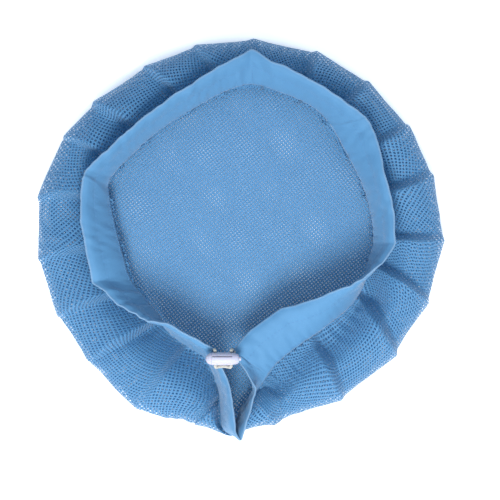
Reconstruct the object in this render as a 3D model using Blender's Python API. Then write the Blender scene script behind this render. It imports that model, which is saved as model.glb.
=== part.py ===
"""A round mesh laundry bag lying open on its flat bottom, like a shower cap.

The bag is one disc of net, folded over at the rim and gathered into a folded woven band. A drawcord
runs round the band's casing, comes out at two buttonholes at the front and loops through a two-hole
cord lock. Between the buttonholes the slack band falls forward as a narrow V.

Metres, +Z up. The net's underside lies on z = 0, centred on the origin, and the lock is towards -Y.
"""

import math

import bmesh
import bpy
from mathutils import Vector

MM = 0.001

# Driving sizes
NET_THICKNESS = 0.6 * MM
BAND_THICKNESS = 0.6 * MM
CORD_RADIUS = 1.1 * MM
THREAD_RADIUS = 0.25 * MM
GAP = 0.3 * MM

# Net: the fold at the rim, whose height and the crest's place are shares of the crest's height and
# of the way to the seam, and how deep the net's edge sits between the band's two legs
RIM_RUN = 13 * MM
RIM_HEIGHT = 0.36
HEM_DEPTH = 2 * MM
CREST_PLACE = 0.3
CREST_GAP = 0.8 * MM
TURN_LENGTH = 12 * MM
TURN_LOWEST = 3 * MM
SEAM_APPROACH = 2 * MM

# How far the net's curve runs straight on at the rim's foot, above the rim and on each side of the
# crest, as shares of the rim's run, of the rise to the crest and of the way to the seam
RIM_HANDLE = 0.75
RISE_HANDLE = 0.6
CREST_HANDLES = (0.22, 0.12)

# Band: half its spread at the seam, at the casing's stitch line and at the channel
SEAM_SPREAD = 1.5 * MM
HEM_SPREAD = 1.3 * MM
WAIST_SPREAD = 0.65 * MM
CHANNEL_SPREAD = 1.9 * MM
CASING_DEPTH = 12 * MM
CORD_DEPTH = 3 * MM
STITCH_RISE = 2 * MM
BUTTONHOLE_RADIUS = 1.55 * MM
BUTTONHOLE_POINTS = 7

# One row for each place where the mouth or the rim changes its way, clockwise from the left
# buttonhole. Rim angle (degrees), rim radius and crest height, then the seam's x, y, z and the
# band's folded edge x, y, z, all in millimetres.
STATIONS = (
    (247, 142, 20, -25, -88, 10, -19, -81, 31),
    (240, 143.5, 22, -36, -80, 10, -36.5, -71, 37),
    (231, 143.5, 23, -49, -71, 11, -50, -63.5, 38),
    (223, 143, 24, -57, -62.5, 12, -61, -60.5, 39),
    (216, 143, 22, -63, -53.5, 13, -74, -57.5, 39),
    (208, 144, 22, -72, -43, 14, -91, -46, 38),
    (200, 146, 22, -80.5, -31.5, 15, -108, -31, 33),
    (190, 148, 22, -87, -13, 15, -112, -14, 36),
    (178, 150, 22, -93.5, 12, 15, -117, 13, 38),
    (166, 151.7, 22, -98, 34, 15, -117.5, 38, 39),
    (157, 151.4, 22, -96.5, 46, 15, -112.5, 51.5, 39),
    (145, 149.5, 22, -82, 62, 15, -95, 68, 40),
    (133, 146.5, 22, -61, 81, 15, -71, 89.5, 40),
    (119, 145, 22, -36, 97, 15, -40, 112, 39),
    (104, 146, 22, -12, 110, 15, -16, 126.5, 38),
    (91, 147, 22, 9, 115, 15, 8, 138, 35),
    (79, 147.2, 22, 30, 109.5, 15, 33, 127, 38),
    (66, 148.7, 22, 53, 99, 15, 61, 111.5, 40),
    (54, 149, 22, 67, 85, 15, 90, 94, 36),
    (42, 148.8, 22, 77, 67, 15, 99, 76, 37),
    (28, 149.4, 22, 90, 42, 15, 106, 47, 40),
    (14, 148.6, 22, 97, 18, 15, 112, 23, 39),
    (2, 149.2, 22, 98.5, -2, 15, 113.5, -3, 38),
    (-9, 147, 22, 95, -15, 15, 104, -18, 40),
    (-19, 145, 24, 91.5, -29, 15, 89.5, -29, 41),
    (-30, 142, 24, 82.5, -46, 16, 72.5, -36, 40),
    (-43, 140.5, 24, 62, -64, 18, 54, -44, 37),
    (-54, 138.5, 23, 43, -77.5, 18, 30, -50.5, 31),
    (-64, 137, 22, 27, -90.5, 17, 7, -67, 28),
    (-69, 136.5, 20, 20, -99.5, 15, -6, -82, 28),
    (-73, 136, 18, 15.5, -106, 12, 4, -97, 29),
    (-77, 136, 16, 8.5, -114, 11, 11, -108.5, 30),
    (-83, 137, 15, 1, -124.5, 8, 9, -120, 30),
    (-88.5, 142, 12, -3.5, -136, 9, 5, -133, 30),
    (-92.5, 147, 10.5, -8.5, -141.5, 10.5, 0.5, -147.5, 29),
    (-96, 145, 11, -13, -137, 10, -3.8, -141, 29),
    (-101, 140.5, 14, -14, -125, 8, -5, -125, 30),
    (-107, 139, 17, -16, -109, 8, -8, -107.5, 30),
)
STEPS_PER_STATION = 2
RIGHT_BUTTONHOLE_STATION = 29
BAND_JOIN_STATION = 15
BINDING_POINTS = 16
BINDING_PLACE = 4

# Cord lock: a barrel along X. Its centre line, and its profile as distance from the left end and
# radius across Y. The barrel is a little taller than it is wide.
LOCK_LEFT_END = -25.5 * MM
LOCK_Y = -87.45 * MM
LOCK_Z = 36.5 * MM
LOCK_TALLNESS = 1.05
LOCK_PROFILE = (
    (0, 0), (0.25, 1.6), (1.0, 2.9), (2.3, 3.9), (4.3, 4.5), (7.5, 4.75),
    (15.5, 4.75), (18.5, 4.65), (20.5, 4.4), (22.5, 3.9), (23.6, 3.4), (24.4, 2.7), (24.4, 0),
)
LOCK_SIDES = 32
CAP_SPLIT_X = -21.2 * MM
CAVITY_RADIUS = 2.9 * MM
CAVITY_LEFT_X = -23.0 * MM
CAVITY_RIGHT_X = -2.3 * MM
SPRING_POCKET_RADIUS = 2.0 * MM
SPRING_POCKET_X = -24.4 * MM
NUB_HOLE_RADIUS = 1.9 * MM
CORD_HOLE_X = (-18.5 * MM, -6.8 * MM)
CORD_HOLE_RADIUS = 1.5 * MM
CORD_HOLE_REACH = 8 * MM
GROOVE_Y = -85.4 * MM
GROOVE_LEFT_X = -20.4 * MM
GROOVE_RIGHT_X = -3.2 * MM
GROOVE_WIDTH = 1.0 * MM
GROOVE_FLOOR = 3.7 * MM
GROOVE_TOP = 8 * MM

# Plunger: a round bar with a slot for each cord, and the nub that a thumb presses
PLUNGER_RADIUS = 2.6 * MM
PLUNGER_LEFT_X = -20.9 * MM
PLUNGER_SHOULDER_X = -2.6 * MM
NUB_RADIUS = 1.55 * MM
NUB_END_X = 0.5 * MM
PLUNGER_STROKE = 1.8 * MM
NUB_DOME = 0.4 * MM
SLOT_HALF_HEIGHT = 1.4 * MM
SLOT_REACH = 4 * MM

# Return spring
SPRING_RADIUS = 1.45 * MM
SPRING_WIRE_RADIUS = 0.15 * MM
SPRING_TURNS = 3
SPRING_LEFT_X = -24.05 * MM
SPRING_RIGHT_X = -21.35 * MM
SPRING_POINTS_PER_TURN = 12

# Cord outside the casing, in millimetres: from each buttonhole up into the back of the lock, and the
# loop that goes through both holes and across the lock's front.
CORD_RUN_LEFT = (
    (-19.8, -81.8, 28.6), (-19.7, -81.4, 30.5), (-19.3, -80.9, 33.0),
    (-18.9, -80.8, 35.0), (-18.6, -81.3, 36.2), (-18.5, -82.2, 36.5),
)
CORD_RUN_RIGHT = (
    (-3.9, -83.4, 27.1), (-4.7, -82.4, 29.2), (-5.9, -81.2, 31.8),
    (-6.5, -80.8, 34.5), (-6.8, -81.3, 36.1), (-6.8, -82.2, 36.5),
)
CORD_LOOP = (
    (-18.5, -82.8, 36.5), (-18.5, -86.0, 36.5), (-18.5, -89.5, 36.5), (-18.4, -92.6, 36.2),
    (-17.8, -93.6, 35.2), (-16.2, -93.4, 34.2), (-12.6, -93.0, 33.5), (-9.1, -93.4, 34.2),
    (-7.5, -93.6, 35.2), (-6.9, -92.6, 36.2), (-6.8, -89.5, 36.5), (-6.8, -86.0, 36.5),
    (-6.8, -82.8, 36.5),
)

# Colour (linear), roughness
NET_BLUE = ((0.115, 0.33, 0.66), 0.65)
BAND_BLUE = ((0.13, 0.35, 0.62), 0.8)
THREAD_BLUE = ((0.10, 0.30, 0.58), 0.6)
CORD_CREAM = ((0.80, 0.76, 0.66), 0.7)
LOCK_WHITE = ((0.72, 0.70, 0.80), 0.35)
PLUNGER_WHITE = ((0.70, 0.69, 0.78), 0.4)
SPRING_STEEL = ((0.56, 0.56, 0.58), 0.3)


def clear_scene():
    for existing in list(bpy.data.objects):
        bpy.data.objects.remove(existing, do_unlink=True)


def make_material(name, colour_and_roughness, metallic=0.0):
    colour, roughness = colour_and_roughness
    material = bpy.data.materials.new(name)
    material.use_nodes = True
    surface = material.node_tree.nodes["Principled BSDF"]
    surface.inputs["Base Color"].default_value = (*colour, 1.0)
    surface.inputs["Roughness"].default_value = roughness
    surface.inputs["Metallic"].default_value = metallic
    material.diffuse_color = (*colour, 1.0)
    return material


def add_object(name, data, material=None):
    thing = bpy.data.objects.new(name, data)
    bpy.context.collection.objects.link(thing)
    if material is not None:
        data.materials.append(material)
    return thing


def add_mesh(name, vertices, faces, material=None, smooth=True):
    mesh = bpy.data.meshes.new(name)
    mesh.from_pydata([tuple(v) for v in vertices], [], faces)
    mesh.update()
    if smooth:
        mesh.shade_smooth()
        mesh.set_sharp_from_angle(angle=math.radians(40))
    return add_object(name, mesh, material)


def add_solidify(thing, thickness):
    shell = thing.modifiers.new("thickness", "SOLIDIFY")
    shell.thickness = thickness
    shell.offset = 0.0


def add_boolean(thing, cutter, operation="DIFFERENCE"):
    cut = thing.modifiers.new(cutter.name, "BOOLEAN")
    cut.operation = operation
    cut.object = cutter
    cutter.hide_render = True
    cutter.display_type = "WIRE"


def add_tube(name, points, radius, material=None, closed=False, rings=2):
    """A round cord along the points: a POLY curve with a bevel and closed ends."""
    curve = bpy.data.curves.new(name, "CURVE")
    curve.dimensions = "3D"
    curve.bevel_depth = radius
    curve.bevel_resolution = rings
    curve.use_fill_caps = not closed
    spline = curve.splines.new("POLY")
    spline.points.add(len(points) - 1)
    for slot, point in zip(spline.points, points):
        slot.co = (*point, 1.0)
    spline.use_cyclic_u = closed
    return add_object(name, curve, material)


def add_cutter_tube(name, points, radius):
    """A tube as a mesh, for a Boolean to cut with."""
    tube = add_tube(name, points, radius, rings=4)
    mesh = bpy.data.meshes.new_from_object(tube)
    bpy.data.objects.remove(tube, do_unlink=True)
    return add_object(name, mesh)


def catmull_rom(before, start, end, after, t):
    """One number on the smooth curve from start to end."""
    return 0.5 * (
        2 * start
        + (end - before) * t
        + (2 * before - 5 * start + 4 * end - after) * t * t
        + (3 * start - before - 3 * end + after) * t ** 3
    )


def bezier(a, b, c, d, t):
    s = 1 - t
    return a * s ** 3 + b * (3 * s * s * t) + c * (3 * s * t * t) + d * t ** 3


def smooth_route(points, steps=2):
    """Points on a smooth curve through a hand-laid route in millimetres, as metres."""
    padded = [points[0], *points, points[-1]]
    smooth = []
    for i in range(1, len(padded) - 2):
        for step in range(steps):
            rows = padded[i - 1:i + 3]
            smooth.append(Vector([catmull_rom(*column, step / steps) for column in zip(*rows)]) * MM)
    smooth.append(Vector(points[-1]) * MM)
    return smooth


def mouth_sections():
    """The stations at a finer step, each with the band's own directions: up its face, and across it."""
    count = len(STATIONS)
    sections = []
    for i in range(count):
        rows = [STATIONS[(i + k) % count] for k in (-1, 0, 1, 2)]
        angles = [row[0] - 360 * ((i + k) // count) for row, k in zip(rows, (-1, 0, 1, 2))]
        for step in range(STEPS_PER_STATION):
            t = step / STEPS_PER_STATION
            angle = math.radians(catmull_rom(*angles, t))
            radius, crest, *places = [
                catmull_rom(*column, t) * MM for column in list(zip(*rows))[1:]
            ]
            seam = Vector(places[:3])
            fold = Vector(places[3:])
            sections.append({
                "outward": Vector((math.cos(angle), math.sin(angle), 0)),
                "radius": radius, "crest": crest, "seam": seam, "fold": fold,
            })
    for i, section in enumerate(sections):
        before = sections[i - 1]
        after = sections[(i + 1) % len(sections)]
        along = after["seam"] + after["fold"] - before["seam"] - before["fold"]
        rise = section["fold"] - section["seam"]
        section["width"] = rise.length
        section["up"] = rise.normalized()
        section["across"] = along.cross(rise).normalized()
    return sections


def net_section(section):
    """The net's line from the flat bottom over the rim to the crest, and from there to its hem inside
    the band, as two lists with a small gap between them at the crest."""
    outward = section["outward"]
    floor = Vector((0, 0, NET_THICKNESS / 2))
    lift = Vector((0, 0, 1))
    rim_height = RIM_HEIGHT * section["crest"]
    rim = outward * section["radius"] + lift * rim_height
    inner = outward * (section["radius"] - RIM_RUN) + floor
    up = section["up"]
    seam = section["seam"] - up * SEAM_APPROACH
    turn = up * min(TURN_LENGTH, (seam.z - TURN_LOWEST) / up.z)
    crest = rim.lerp(seam, CREST_PLACE)
    crest.z = section["crest"]
    across = seam - rim
    across.z = 0
    out = outward * (RIM_HANDLE * RIM_RUN)
    down = lift * (RIM_HANDLE * rim_height)
    rise = lift * (RISE_HANDLE * (section["crest"] - rim_height))
    wall = [bezier(inner, inner + out, rim - down, rim, t) for t in (0, 0.35, 0.7)]
    wall += [
        bezier(rim, rim + rise, crest - across * CREST_HANDLES[0], crest, t) for t in (0, 0.33, 0.66)
    ]
    top = [
        bezier(crest, crest + across * CREST_HANDLES[1], seam - turn, seam, t)
        for t in (0.3, 0.55, 0.75, 0.9, 1)
    ]
    top.append(section["seam"] + up * HEM_DEPTH)
    wall.append(crest + (wall[-1] - crest).normalized() * (CREST_GAP / 2))
    top.insert(0, crest + (top[0] - crest).normalized() * (CREST_GAP / 2))
    return wall, top


def band_section(section):
    """The folded strip: up the outer leg, round the cord's channel and down the inner leg."""
    width = section["width"]
    bend = width - CHANNEL_SPREAD
    leg = [
        (SEAM_SPREAD, 0),
        (HEM_SPREAD, HEM_DEPTH + MM),
        (WAIST_SPREAD, width - CASING_DEPTH),
        (CHANNEL_SPREAD, width - 0.5 * CASING_DEPTH),
        (CHANNEL_SPREAD, bend),
    ]
    turn = [
        (CHANNEL_SPREAD * math.cos(a), bend + CHANNEL_SPREAD * math.sin(a))
        for a in (math.radians(135), math.radians(90), math.radians(45))
    ]
    profile = [(-spread, height) for spread, height in leg] + turn + leg[::-1]
    return [
        section["seam"] + section["across"] * spread + section["up"] * height
        for spread, height in profile
    ]


def add_strip(name, lines, thickness, material):
    """A cloth wall: the same line carried round a closed loop, with a thickness."""
    points_each = len(lines[0])
    vertices = [point for line in lines for point in line]
    faces = []
    for i in range(len(lines)):
        here = i * points_each
        there = (i + 1) % len(lines) * points_each
        for j in range(points_each - 1):
            faces.append((here + j, here + j + 1, there + j + 1, there + j))
    strip = add_mesh(name, vertices, faces, material)
    add_solidify(strip, thickness)
    return strip


def add_bottom(sections, material):
    """The net's flat part, up to where the rim starts to rise."""
    mesh = bpy.data.meshes.new("mesh_bottom")
    shape = bmesh.new()
    ring = [
        shape.verts.new(section["outward"] * (section["radius"] - RIM_RUN - GAP))
        for section in reversed(sections)
    ]
    sheet = shape.faces.new(ring)
    grown = bmesh.ops.extrude_face_region(shape, geom=[sheet])["geom"]
    raised = [part for part in grown if isinstance(part, bmesh.types.BMVert)]
    bmesh.ops.translate(shape, verts=raised, vec=(0, 0, NET_THICKNESS))
    bmesh.ops.recalc_face_normals(shape, faces=shape.faces)
    shape.to_mesh(mesh)
    shape.free()
    return add_object("mesh_bottom", mesh, material)


def add_drawcord(sections, material):
    last = RIGHT_BUTTONHOLE_STATION * STEPS_PER_STATION
    places = [s["fold"] - s["up"] * CORD_DEPTH for s in sections[:last + 1]]
    first_way = (places[1] - places[0]).normalized()
    last_way = (places[-2] - places[-1]).normalized()
    places[0] += first_way * (2 * CORD_RADIUS)
    places[-1] += last_way * (2 * CORD_RADIUS)
    return add_tube("drawcord", places, CORD_RADIUS, material)


def add_stitch_line(name, sections, height_of, spread, material):
    """A thread on the band's outer face, at a height above the seam."""
    places = [
        s["seam"] + s["up"] * height_of(s) - s["across"] * spread for s in sections
    ]
    return add_tube(name, places, THREAD_RADIUS, material, closed=True, rings=0)


def add_join_stitching(section, material):
    """The line of thread that sews the band's two ends together, on the inner face."""
    clear = BAND_THICKNESS / 2 + GAP + THREAD_RADIUS
    waist = section["width"] - CASING_DEPTH
    places = []
    for share in (0.0, 0.25, 0.5, 0.75, 1.0):
        height = HEM_DEPTH + MM + share * (waist - HEM_DEPTH - 2 * MM)
        spread = HEM_SPREAD + clear + share * (WAIST_SPREAD - HEM_SPREAD)
        places.append(section["seam"] + section["up"] * height + section["across"] * spread)
    return add_tube("band_join_stitching", places, THREAD_RADIUS, material, rings=0)


def add_binding(name, run, place, material):
    """The ring of thread that binds a buttonhole, round the cord where it comes out."""
    way = (run[place + 1] - run[place - 1]).normalized()
    side = way.cross(Vector((1, 0, 0))).normalized()
    other = way.cross(side)
    reach = CORD_RADIUS + GAP + THREAD_RADIUS
    ring = []
    for k in range(BINDING_POINTS):
        turn = 2 * math.pi * k / BINDING_POINTS
        ring.append(run[place] + side * (reach * math.cos(turn)) + other * (reach * math.sin(turn)))
    return add_tube(name, ring, THREAD_RADIUS, material, closed=True, rings=0)


def cut_buttonhole(band, run, name):
    """An opening through the casing's wall, round the cord that leaves it."""
    add_boolean(band, add_cutter_tube(name, run[:BUTTONHOLE_POINTS], BUTTONHOLE_RADIUS))


def add_turned(name, profile, material=None, tallness=1.0, sides=LOCK_SIDES):
    """A solid turned about the lock's centre line. The profile is (x, radius), from left to right."""
    vertices = []
    rings = []
    for x, radius in profile:
        if radius == 0:
            rings.append([len(vertices)])
            vertices.append((x, LOCK_Y, LOCK_Z))
            continue
        rings.append(list(range(len(vertices), len(vertices) + sides)))
        for k in range(sides):
            turn = 2 * math.pi * k / sides
            y = LOCK_Y + radius * math.cos(turn)
            z = LOCK_Z + radius * tallness * math.sin(turn)
            vertices.append((x, y, z))
    faces = []
    for left, right in zip(rings, rings[1:]):
        for k in range(sides):
            after = (k + 1) % sides
            corners = [left[k % len(left)], left[after % len(left)]]
            corners += [right[after % len(right)], right[k % len(right)]]
            faces.append(tuple(dict.fromkeys(corners)))
    return add_mesh(name, vertices, faces, material)


def turned_rod(name, left, right, radius, material=None, sides=24):
    """A plain cylinder on the lock's centre line."""
    profile = [(left, 0), (left, radius), (right, radius), (right, 0)]
    return add_turned(name, profile, material, sides=sides)


def add_block(name, low, high):
    """A box between two corners."""
    mesh = bpy.data.meshes.new(name)
    shape = bmesh.new()
    bmesh.ops.create_cube(shape, size=1.0)
    size = Vector(high) - Vector(low)
    middle = (Vector(high) + Vector(low)) / 2
    for vertex in shape.verts:
        vertex.co = Vector([c * s for c, s in zip(vertex.co, size)]) + middle
    shape.to_mesh(mesh)
    shape.free()
    return add_object(name, mesh)


def barrel_radius(x):
    """The barrel's radius across Y at a place along it."""
    along = (x - LOCK_LEFT_END) / MM
    for (x0, r0), (x1, r1) in zip(LOCK_PROFILE, LOCK_PROFILE[1:]):
        if x0 <= along <= x1 and x1 > x0:
            return (r0 + (r1 - r0) * (along - x0) / (x1 - x0)) * MM
    return 0.0


def barrel_profile(left, right):
    """The barrel's outline between two places along it, closed at both ends on the centre line."""
    inside = [
        (LOCK_LEFT_END + x * MM, radius * MM)
        for x, radius in LOCK_PROFILE
        if left < LOCK_LEFT_END + x * MM < right and radius > 0
    ]
    start = [(left, 0)]
    if barrel_radius(left) > 0:
        start.append((left, barrel_radius(left)))
    end = [(right, barrel_radius(right)), (right, 0)]
    return start + inside + end


def add_lock_body(material):
    right_end = LOCK_LEFT_END + LOCK_PROFILE[-1][0] * MM
    body = add_turned(
        "lock_body", barrel_profile(CAP_SPLIT_X + GAP / 2, right_end), material, LOCK_TALLNESS
    )
    add_boolean(body, turned_rod("cavity_cutter", CAVITY_LEFT_X, CAVITY_RIGHT_X, CAVITY_RADIUS))
    add_boolean(body, turned_rod("nub_hole_cutter", CAVITY_RIGHT_X - MM, NUB_END_X, NUB_HOLE_RADIUS))
    for number, x in enumerate(CORD_HOLE_X):
        ends = [Vector((x, LOCK_Y + side * CORD_HOLE_REACH, LOCK_Z)) for side in (-1, 1)]
        add_boolean(body, add_cutter_tube(f"cord_hole_cutter_{number}", ends, CORD_HOLE_RADIUS))
    groove = add_block(
        "groove_cutter",
        (GROOVE_LEFT_X, GROOVE_Y - GROOVE_WIDTH / 2, LOCK_Z + GROOVE_FLOOR),
        (GROOVE_RIGHT_X, GROOVE_Y + GROOVE_WIDTH / 2, LOCK_Z + GROOVE_TOP),
    )
    add_boolean(body, groove)
    return body


def add_lock_end_cap(material):
    cap = add_turned(
        "lock_end_cap", barrel_profile(LOCK_LEFT_END, CAP_SPLIT_X - GAP / 2), material, LOCK_TALLNESS
    )
    add_boolean(cap, turned_rod("cap_cavity_cutter", CAVITY_LEFT_X, CAP_SPLIT_X + MM, CAVITY_RADIUS))
    add_boolean(cap, turned_rod("spring_pocket_cutter", SPRING_POCKET_X, CAP_SPLIT_X, SPRING_POCKET_RADIUS))
    return cap


def add_plunger(material):
    profile = [
        (PLUNGER_LEFT_X, 0), (PLUNGER_LEFT_X, PLUNGER_RADIUS),
        (PLUNGER_SHOULDER_X, PLUNGER_RADIUS), (PLUNGER_SHOULDER_X, NUB_RADIUS),
        (NUB_END_X - NUB_DOME, NUB_RADIUS), (NUB_END_X, NUB_RADIUS - NUB_DOME), (NUB_END_X, 0),
    ]
    plunger = add_turned("lock_plunger", profile, material, sides=24)
    for number, x in enumerate(CORD_HOLE_X):
        left = x - CORD_RADIUS - GAP
        right = x + CORD_RADIUS + GAP + PLUNGER_STROKE
        slot = add_block(
            f"slot_cutter_{number}",
            (left, LOCK_Y - SLOT_REACH, LOCK_Z - SLOT_HALF_HEIGHT),
            (right, LOCK_Y + SLOT_REACH, LOCK_Z + SLOT_HALF_HEIGHT),
        )
        add_boolean(plunger, slot)
    return plunger


def add_spring(material):
    count = SPRING_TURNS * SPRING_POINTS_PER_TURN
    places = []
    for k in range(count + 1):
        turn = 2 * math.pi * k / SPRING_POINTS_PER_TURN
        x = SPRING_LEFT_X + (SPRING_RIGHT_X - SPRING_LEFT_X) * k / count
        y = LOCK_Y + SPRING_RADIUS * math.cos(turn)
        places.append(Vector((x, y, LOCK_Z + SPRING_RADIUS * math.sin(turn))))
    return add_tube("lock_spring", places, SPRING_WIRE_RADIUS, material, rings=1)


def main():
    clear_scene()
    net = make_material("net", NET_BLUE)
    cloth = make_material("band_cloth", BAND_BLUE)
    thread = make_material("thread", THREAD_BLUE)
    cord = make_material("cord", CORD_CREAM)
    plastic = make_material("lock_plastic", LOCK_WHITE)
    button = make_material("plunger_plastic", PLUNGER_WHITE)
    steel = make_material("spring_steel", SPRING_STEEL, metallic=1.0)

    sections = mouth_sections()
    add_bottom(sections, net)
    walls, tops = zip(*[net_section(s) for s in sections])
    add_strip("mesh_rim", walls, NET_THICKNESS, net)
    add_strip("mesh_top", tops, NET_THICKNESS, net)
    band = add_strip("mouth_band", [band_section(s) for s in sections], BAND_THICKNESS, cloth)

    run_left = smooth_route(CORD_RUN_LEFT)
    run_right = smooth_route(CORD_RUN_RIGHT)
    cut_buttonhole(band, run_left, "buttonhole_cutter_left")
    cut_buttonhole(band, run_right, "buttonhole_cutter_right")
    stitch_gap = BAND_THICKNESS / 2 + GAP + THREAD_RADIUS
    add_stitch_line(
        "casing_stitching", sections, lambda s: s["width"] - CASING_DEPTH,
        WAIST_SPREAD + stitch_gap, thread,
    )
    add_stitch_line("seam_stitching", sections, lambda s: STITCH_RISE, SEAM_SPREAD + stitch_gap, thread)
    add_join_stitching(sections[BAND_JOIN_STATION * STEPS_PER_STATION], thread)
    add_binding("buttonhole_binding_left", run_left, BINDING_PLACE, thread)
    add_binding("buttonhole_binding_right", run_right, BINDING_PLACE, thread)

    add_drawcord(sections, cord)
    add_tube("cord_run_left", run_left, CORD_RADIUS, cord)
    add_tube("cord_run_right", run_right, CORD_RADIUS, cord)
    add_tube("cord_loop", smooth_route(CORD_LOOP), CORD_RADIUS, cord)

    add_lock_body(plastic)
    add_lock_end_cap(plastic)
    add_plunger(button)
    add_spring(steel)


main()
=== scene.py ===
"""The looks of the mesh laundry bag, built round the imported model.

The net is made hole by hole in the flat disc that it was cut from, and the disc is then carried over
the rim, along the gathered ring and into the woven band. The band, its stitching, the braided cord
and the moulded cord lock are made in the same frame. Metres, +Z up, the lock towards -Y.
"""

import math

import bmesh
import bpy
import numpy as np
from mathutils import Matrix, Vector


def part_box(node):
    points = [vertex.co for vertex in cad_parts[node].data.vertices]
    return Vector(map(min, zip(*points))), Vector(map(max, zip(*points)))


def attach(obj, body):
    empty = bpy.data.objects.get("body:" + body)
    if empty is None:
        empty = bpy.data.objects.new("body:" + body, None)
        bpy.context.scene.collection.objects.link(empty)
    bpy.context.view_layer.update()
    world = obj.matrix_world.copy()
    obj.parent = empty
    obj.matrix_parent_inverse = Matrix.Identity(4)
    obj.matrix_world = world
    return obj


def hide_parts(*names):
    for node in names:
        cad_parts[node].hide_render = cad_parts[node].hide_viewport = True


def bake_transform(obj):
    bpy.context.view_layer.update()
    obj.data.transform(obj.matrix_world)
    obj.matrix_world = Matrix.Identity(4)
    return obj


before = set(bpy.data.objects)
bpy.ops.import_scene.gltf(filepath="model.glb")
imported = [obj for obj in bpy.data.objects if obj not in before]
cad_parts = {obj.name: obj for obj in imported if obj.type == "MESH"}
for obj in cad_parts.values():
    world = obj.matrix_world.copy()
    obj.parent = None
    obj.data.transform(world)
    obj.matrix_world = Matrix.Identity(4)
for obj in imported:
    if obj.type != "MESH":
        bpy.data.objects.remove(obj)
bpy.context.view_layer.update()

MM = 0.001

# The mouth and the rim: rim angle (degrees), rim radius and crest height, then the seam's x, y, z and
# the band's folded edge x, y, z, in millimetres, clockwise from the left buttonhole. They are the
# CAD's, except for a wider rim at the first three and two moved corners of the fold.
STATIONS = np.array((
    (247, 143.7, 20, -25, -88, 10, -19, -81, 31),
    (240, 145, 22, -36, -80, 10, -36.5, -71, 37),
    (231, 145, 23, -49, -71, 11, -50, -63.5, 38),
    (223, 143, 24, -57, -62.5, 12, -61, -60.5, 39),
    (216, 143, 22, -63, -53.5, 13, -74, -57.5, 39),
    (208, 144, 22, -72, -43, 14, -91, -46, 38),
    (200, 146, 22, -80.5, -31.5, 15, -108, -31, 33),
    (190, 148, 22, -87, -13, 15, -112, -14, 36),
    (178, 150, 22, -93.5, 12, 15, -117, 13, 38),
    (166, 151.7, 22, -98, 34, 15, -116.3, 45, 39),
    (157, 151.4, 22, -96.5, 46, 15, -112.5, 51.5, 39),
    (145, 149.5, 22, -82, 62, 15, -95, 68, 40),
    (133, 146.5, 22, -61, 81, 15, -71, 89.5, 40),
    (119, 145, 22, -36, 97, 15, -40, 112, 39),
    (104, 146, 22, -12, 110, 15, -16, 126.5, 38),
    (91, 147, 22, 9, 115, 15, 8, 138, 35),
    (79, 147.2, 22, 30, 109.5, 15, 33, 127, 38),
    (66, 148.7, 22, 53, 99, 15, 61, 111.5, 40),
    (54, 149, 22, 67, 85, 15, 92.5, 90.5, 36),
    (42, 148.8, 22, 77, 67, 15, 99, 76, 37),
    (28, 149.4, 22, 90, 42, 15, 106, 47, 40),
    (14, 148.6, 22, 97, 18, 15, 112, 23, 39),
    (2, 149.2, 22, 98.5, -2, 15, 113.5, -3, 38),
    (-9, 147, 22, 95, -15, 15, 104, -18, 40),
    (-19, 145, 24, 91.5, -29, 15, 89.5, -29, 41),
    (-30, 142, 24, 82.5, -46, 16, 72.5, -36, 40),
    (-43, 140.5, 24, 62, -64, 18, 54, -44, 37),
    (-54, 138.5, 23, 43, -77.5, 18, 30, -50.5, 31),
    (-64, 137, 22, 27, -90.5, 17, 7, -67, 28),
    (-69, 136.5, 20, 20, -99.5, 15, -6, -82, 28),
    (-73, 136, 18, 15.5, -106, 12, 4, -97, 29),
    (-77, 136, 16, 8.5, -114, 11, 11, -108.5, 30),
    (-83, 137, 15, 1, -124.5, 8, 9, -120, 30),
    (-88.5, 142, 12, -3.5, -136, 9, 5, -133, 30),
    (-92.5, 147, 10.5, -8.5, -141.5, 10.5, 0.5, -147.5, 29),
    (-96, 145, 11, -13, -137, 10, -3.8, -141, 29),
    (-101, 140.5, 14, -14, -125, 8, -5, -125, 30),
    (-107, 139, 17, -16, -109, 8, -8, -107.5, 30),
))
STATION_COUNT = len(STATIONS)
FIRST_ANGLE = STATIONS[0, 0]
RIGHT_BUTTONHOLE_STATION = 29
BUTTONHOLE_RUN = 1.5
BAND_JOIN_STATION = 15

# Net: the flat disc that it was cut from, and the square lattice of holes in it
FLAT_BOTTOM_RADIUS = 133 * MM
FLAT_RADIUS = 208 * MM
HOLE_PITCH = 2.17 * MM
HOLE_HALF_WIDTH = 0.56 * MM
HOLE_CORNER = 0.22 * MM
LATTICE_TURN = math.radians(38)
PLACES_PER_DEGREE = 4

# The bottom: how high it lies, and its waves as heading (degrees), length (mm) and start (radians)
NET_LIFT = 0.3 * MM
BOTTOM_HEIGHT = 1.44 * MM
BOTTOM_WAVE_HEIGHT = 0.9 * MM
BOTTOM_WAVES = ((20, 71, 0.3), (75, 53, 1.1), (130, 62, 2.0), (165, 39, 0.6), (48, 31, 2.9))

# The net's line from the flat bottom over the rim and the crest to its hem. The crest lies further in
# than the CAD's, and higher. The handles shape the line's curves.
RIM_RUN = 13 * MM
RIM_HEIGHT = 0.36
RIM_HANDLE = 0.75
RISE_HANDLE = 0.6
CREST_PLACE = 0.45
CREST_LIFT = 3 * MM
CREST_HANDLES = (0.22, 0.2)
TURN_LENGTH = 12 * MM
TURN_LOWEST = 3 * MM
SEAM_APPROACH = 2 * MM
HEM_DEPTH = 3 * MM
HIDDEN_RUN = 14 * MM
CURVE_STEPS = 24
RING_PLACES = 760
RING_STEPS = 76

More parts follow.
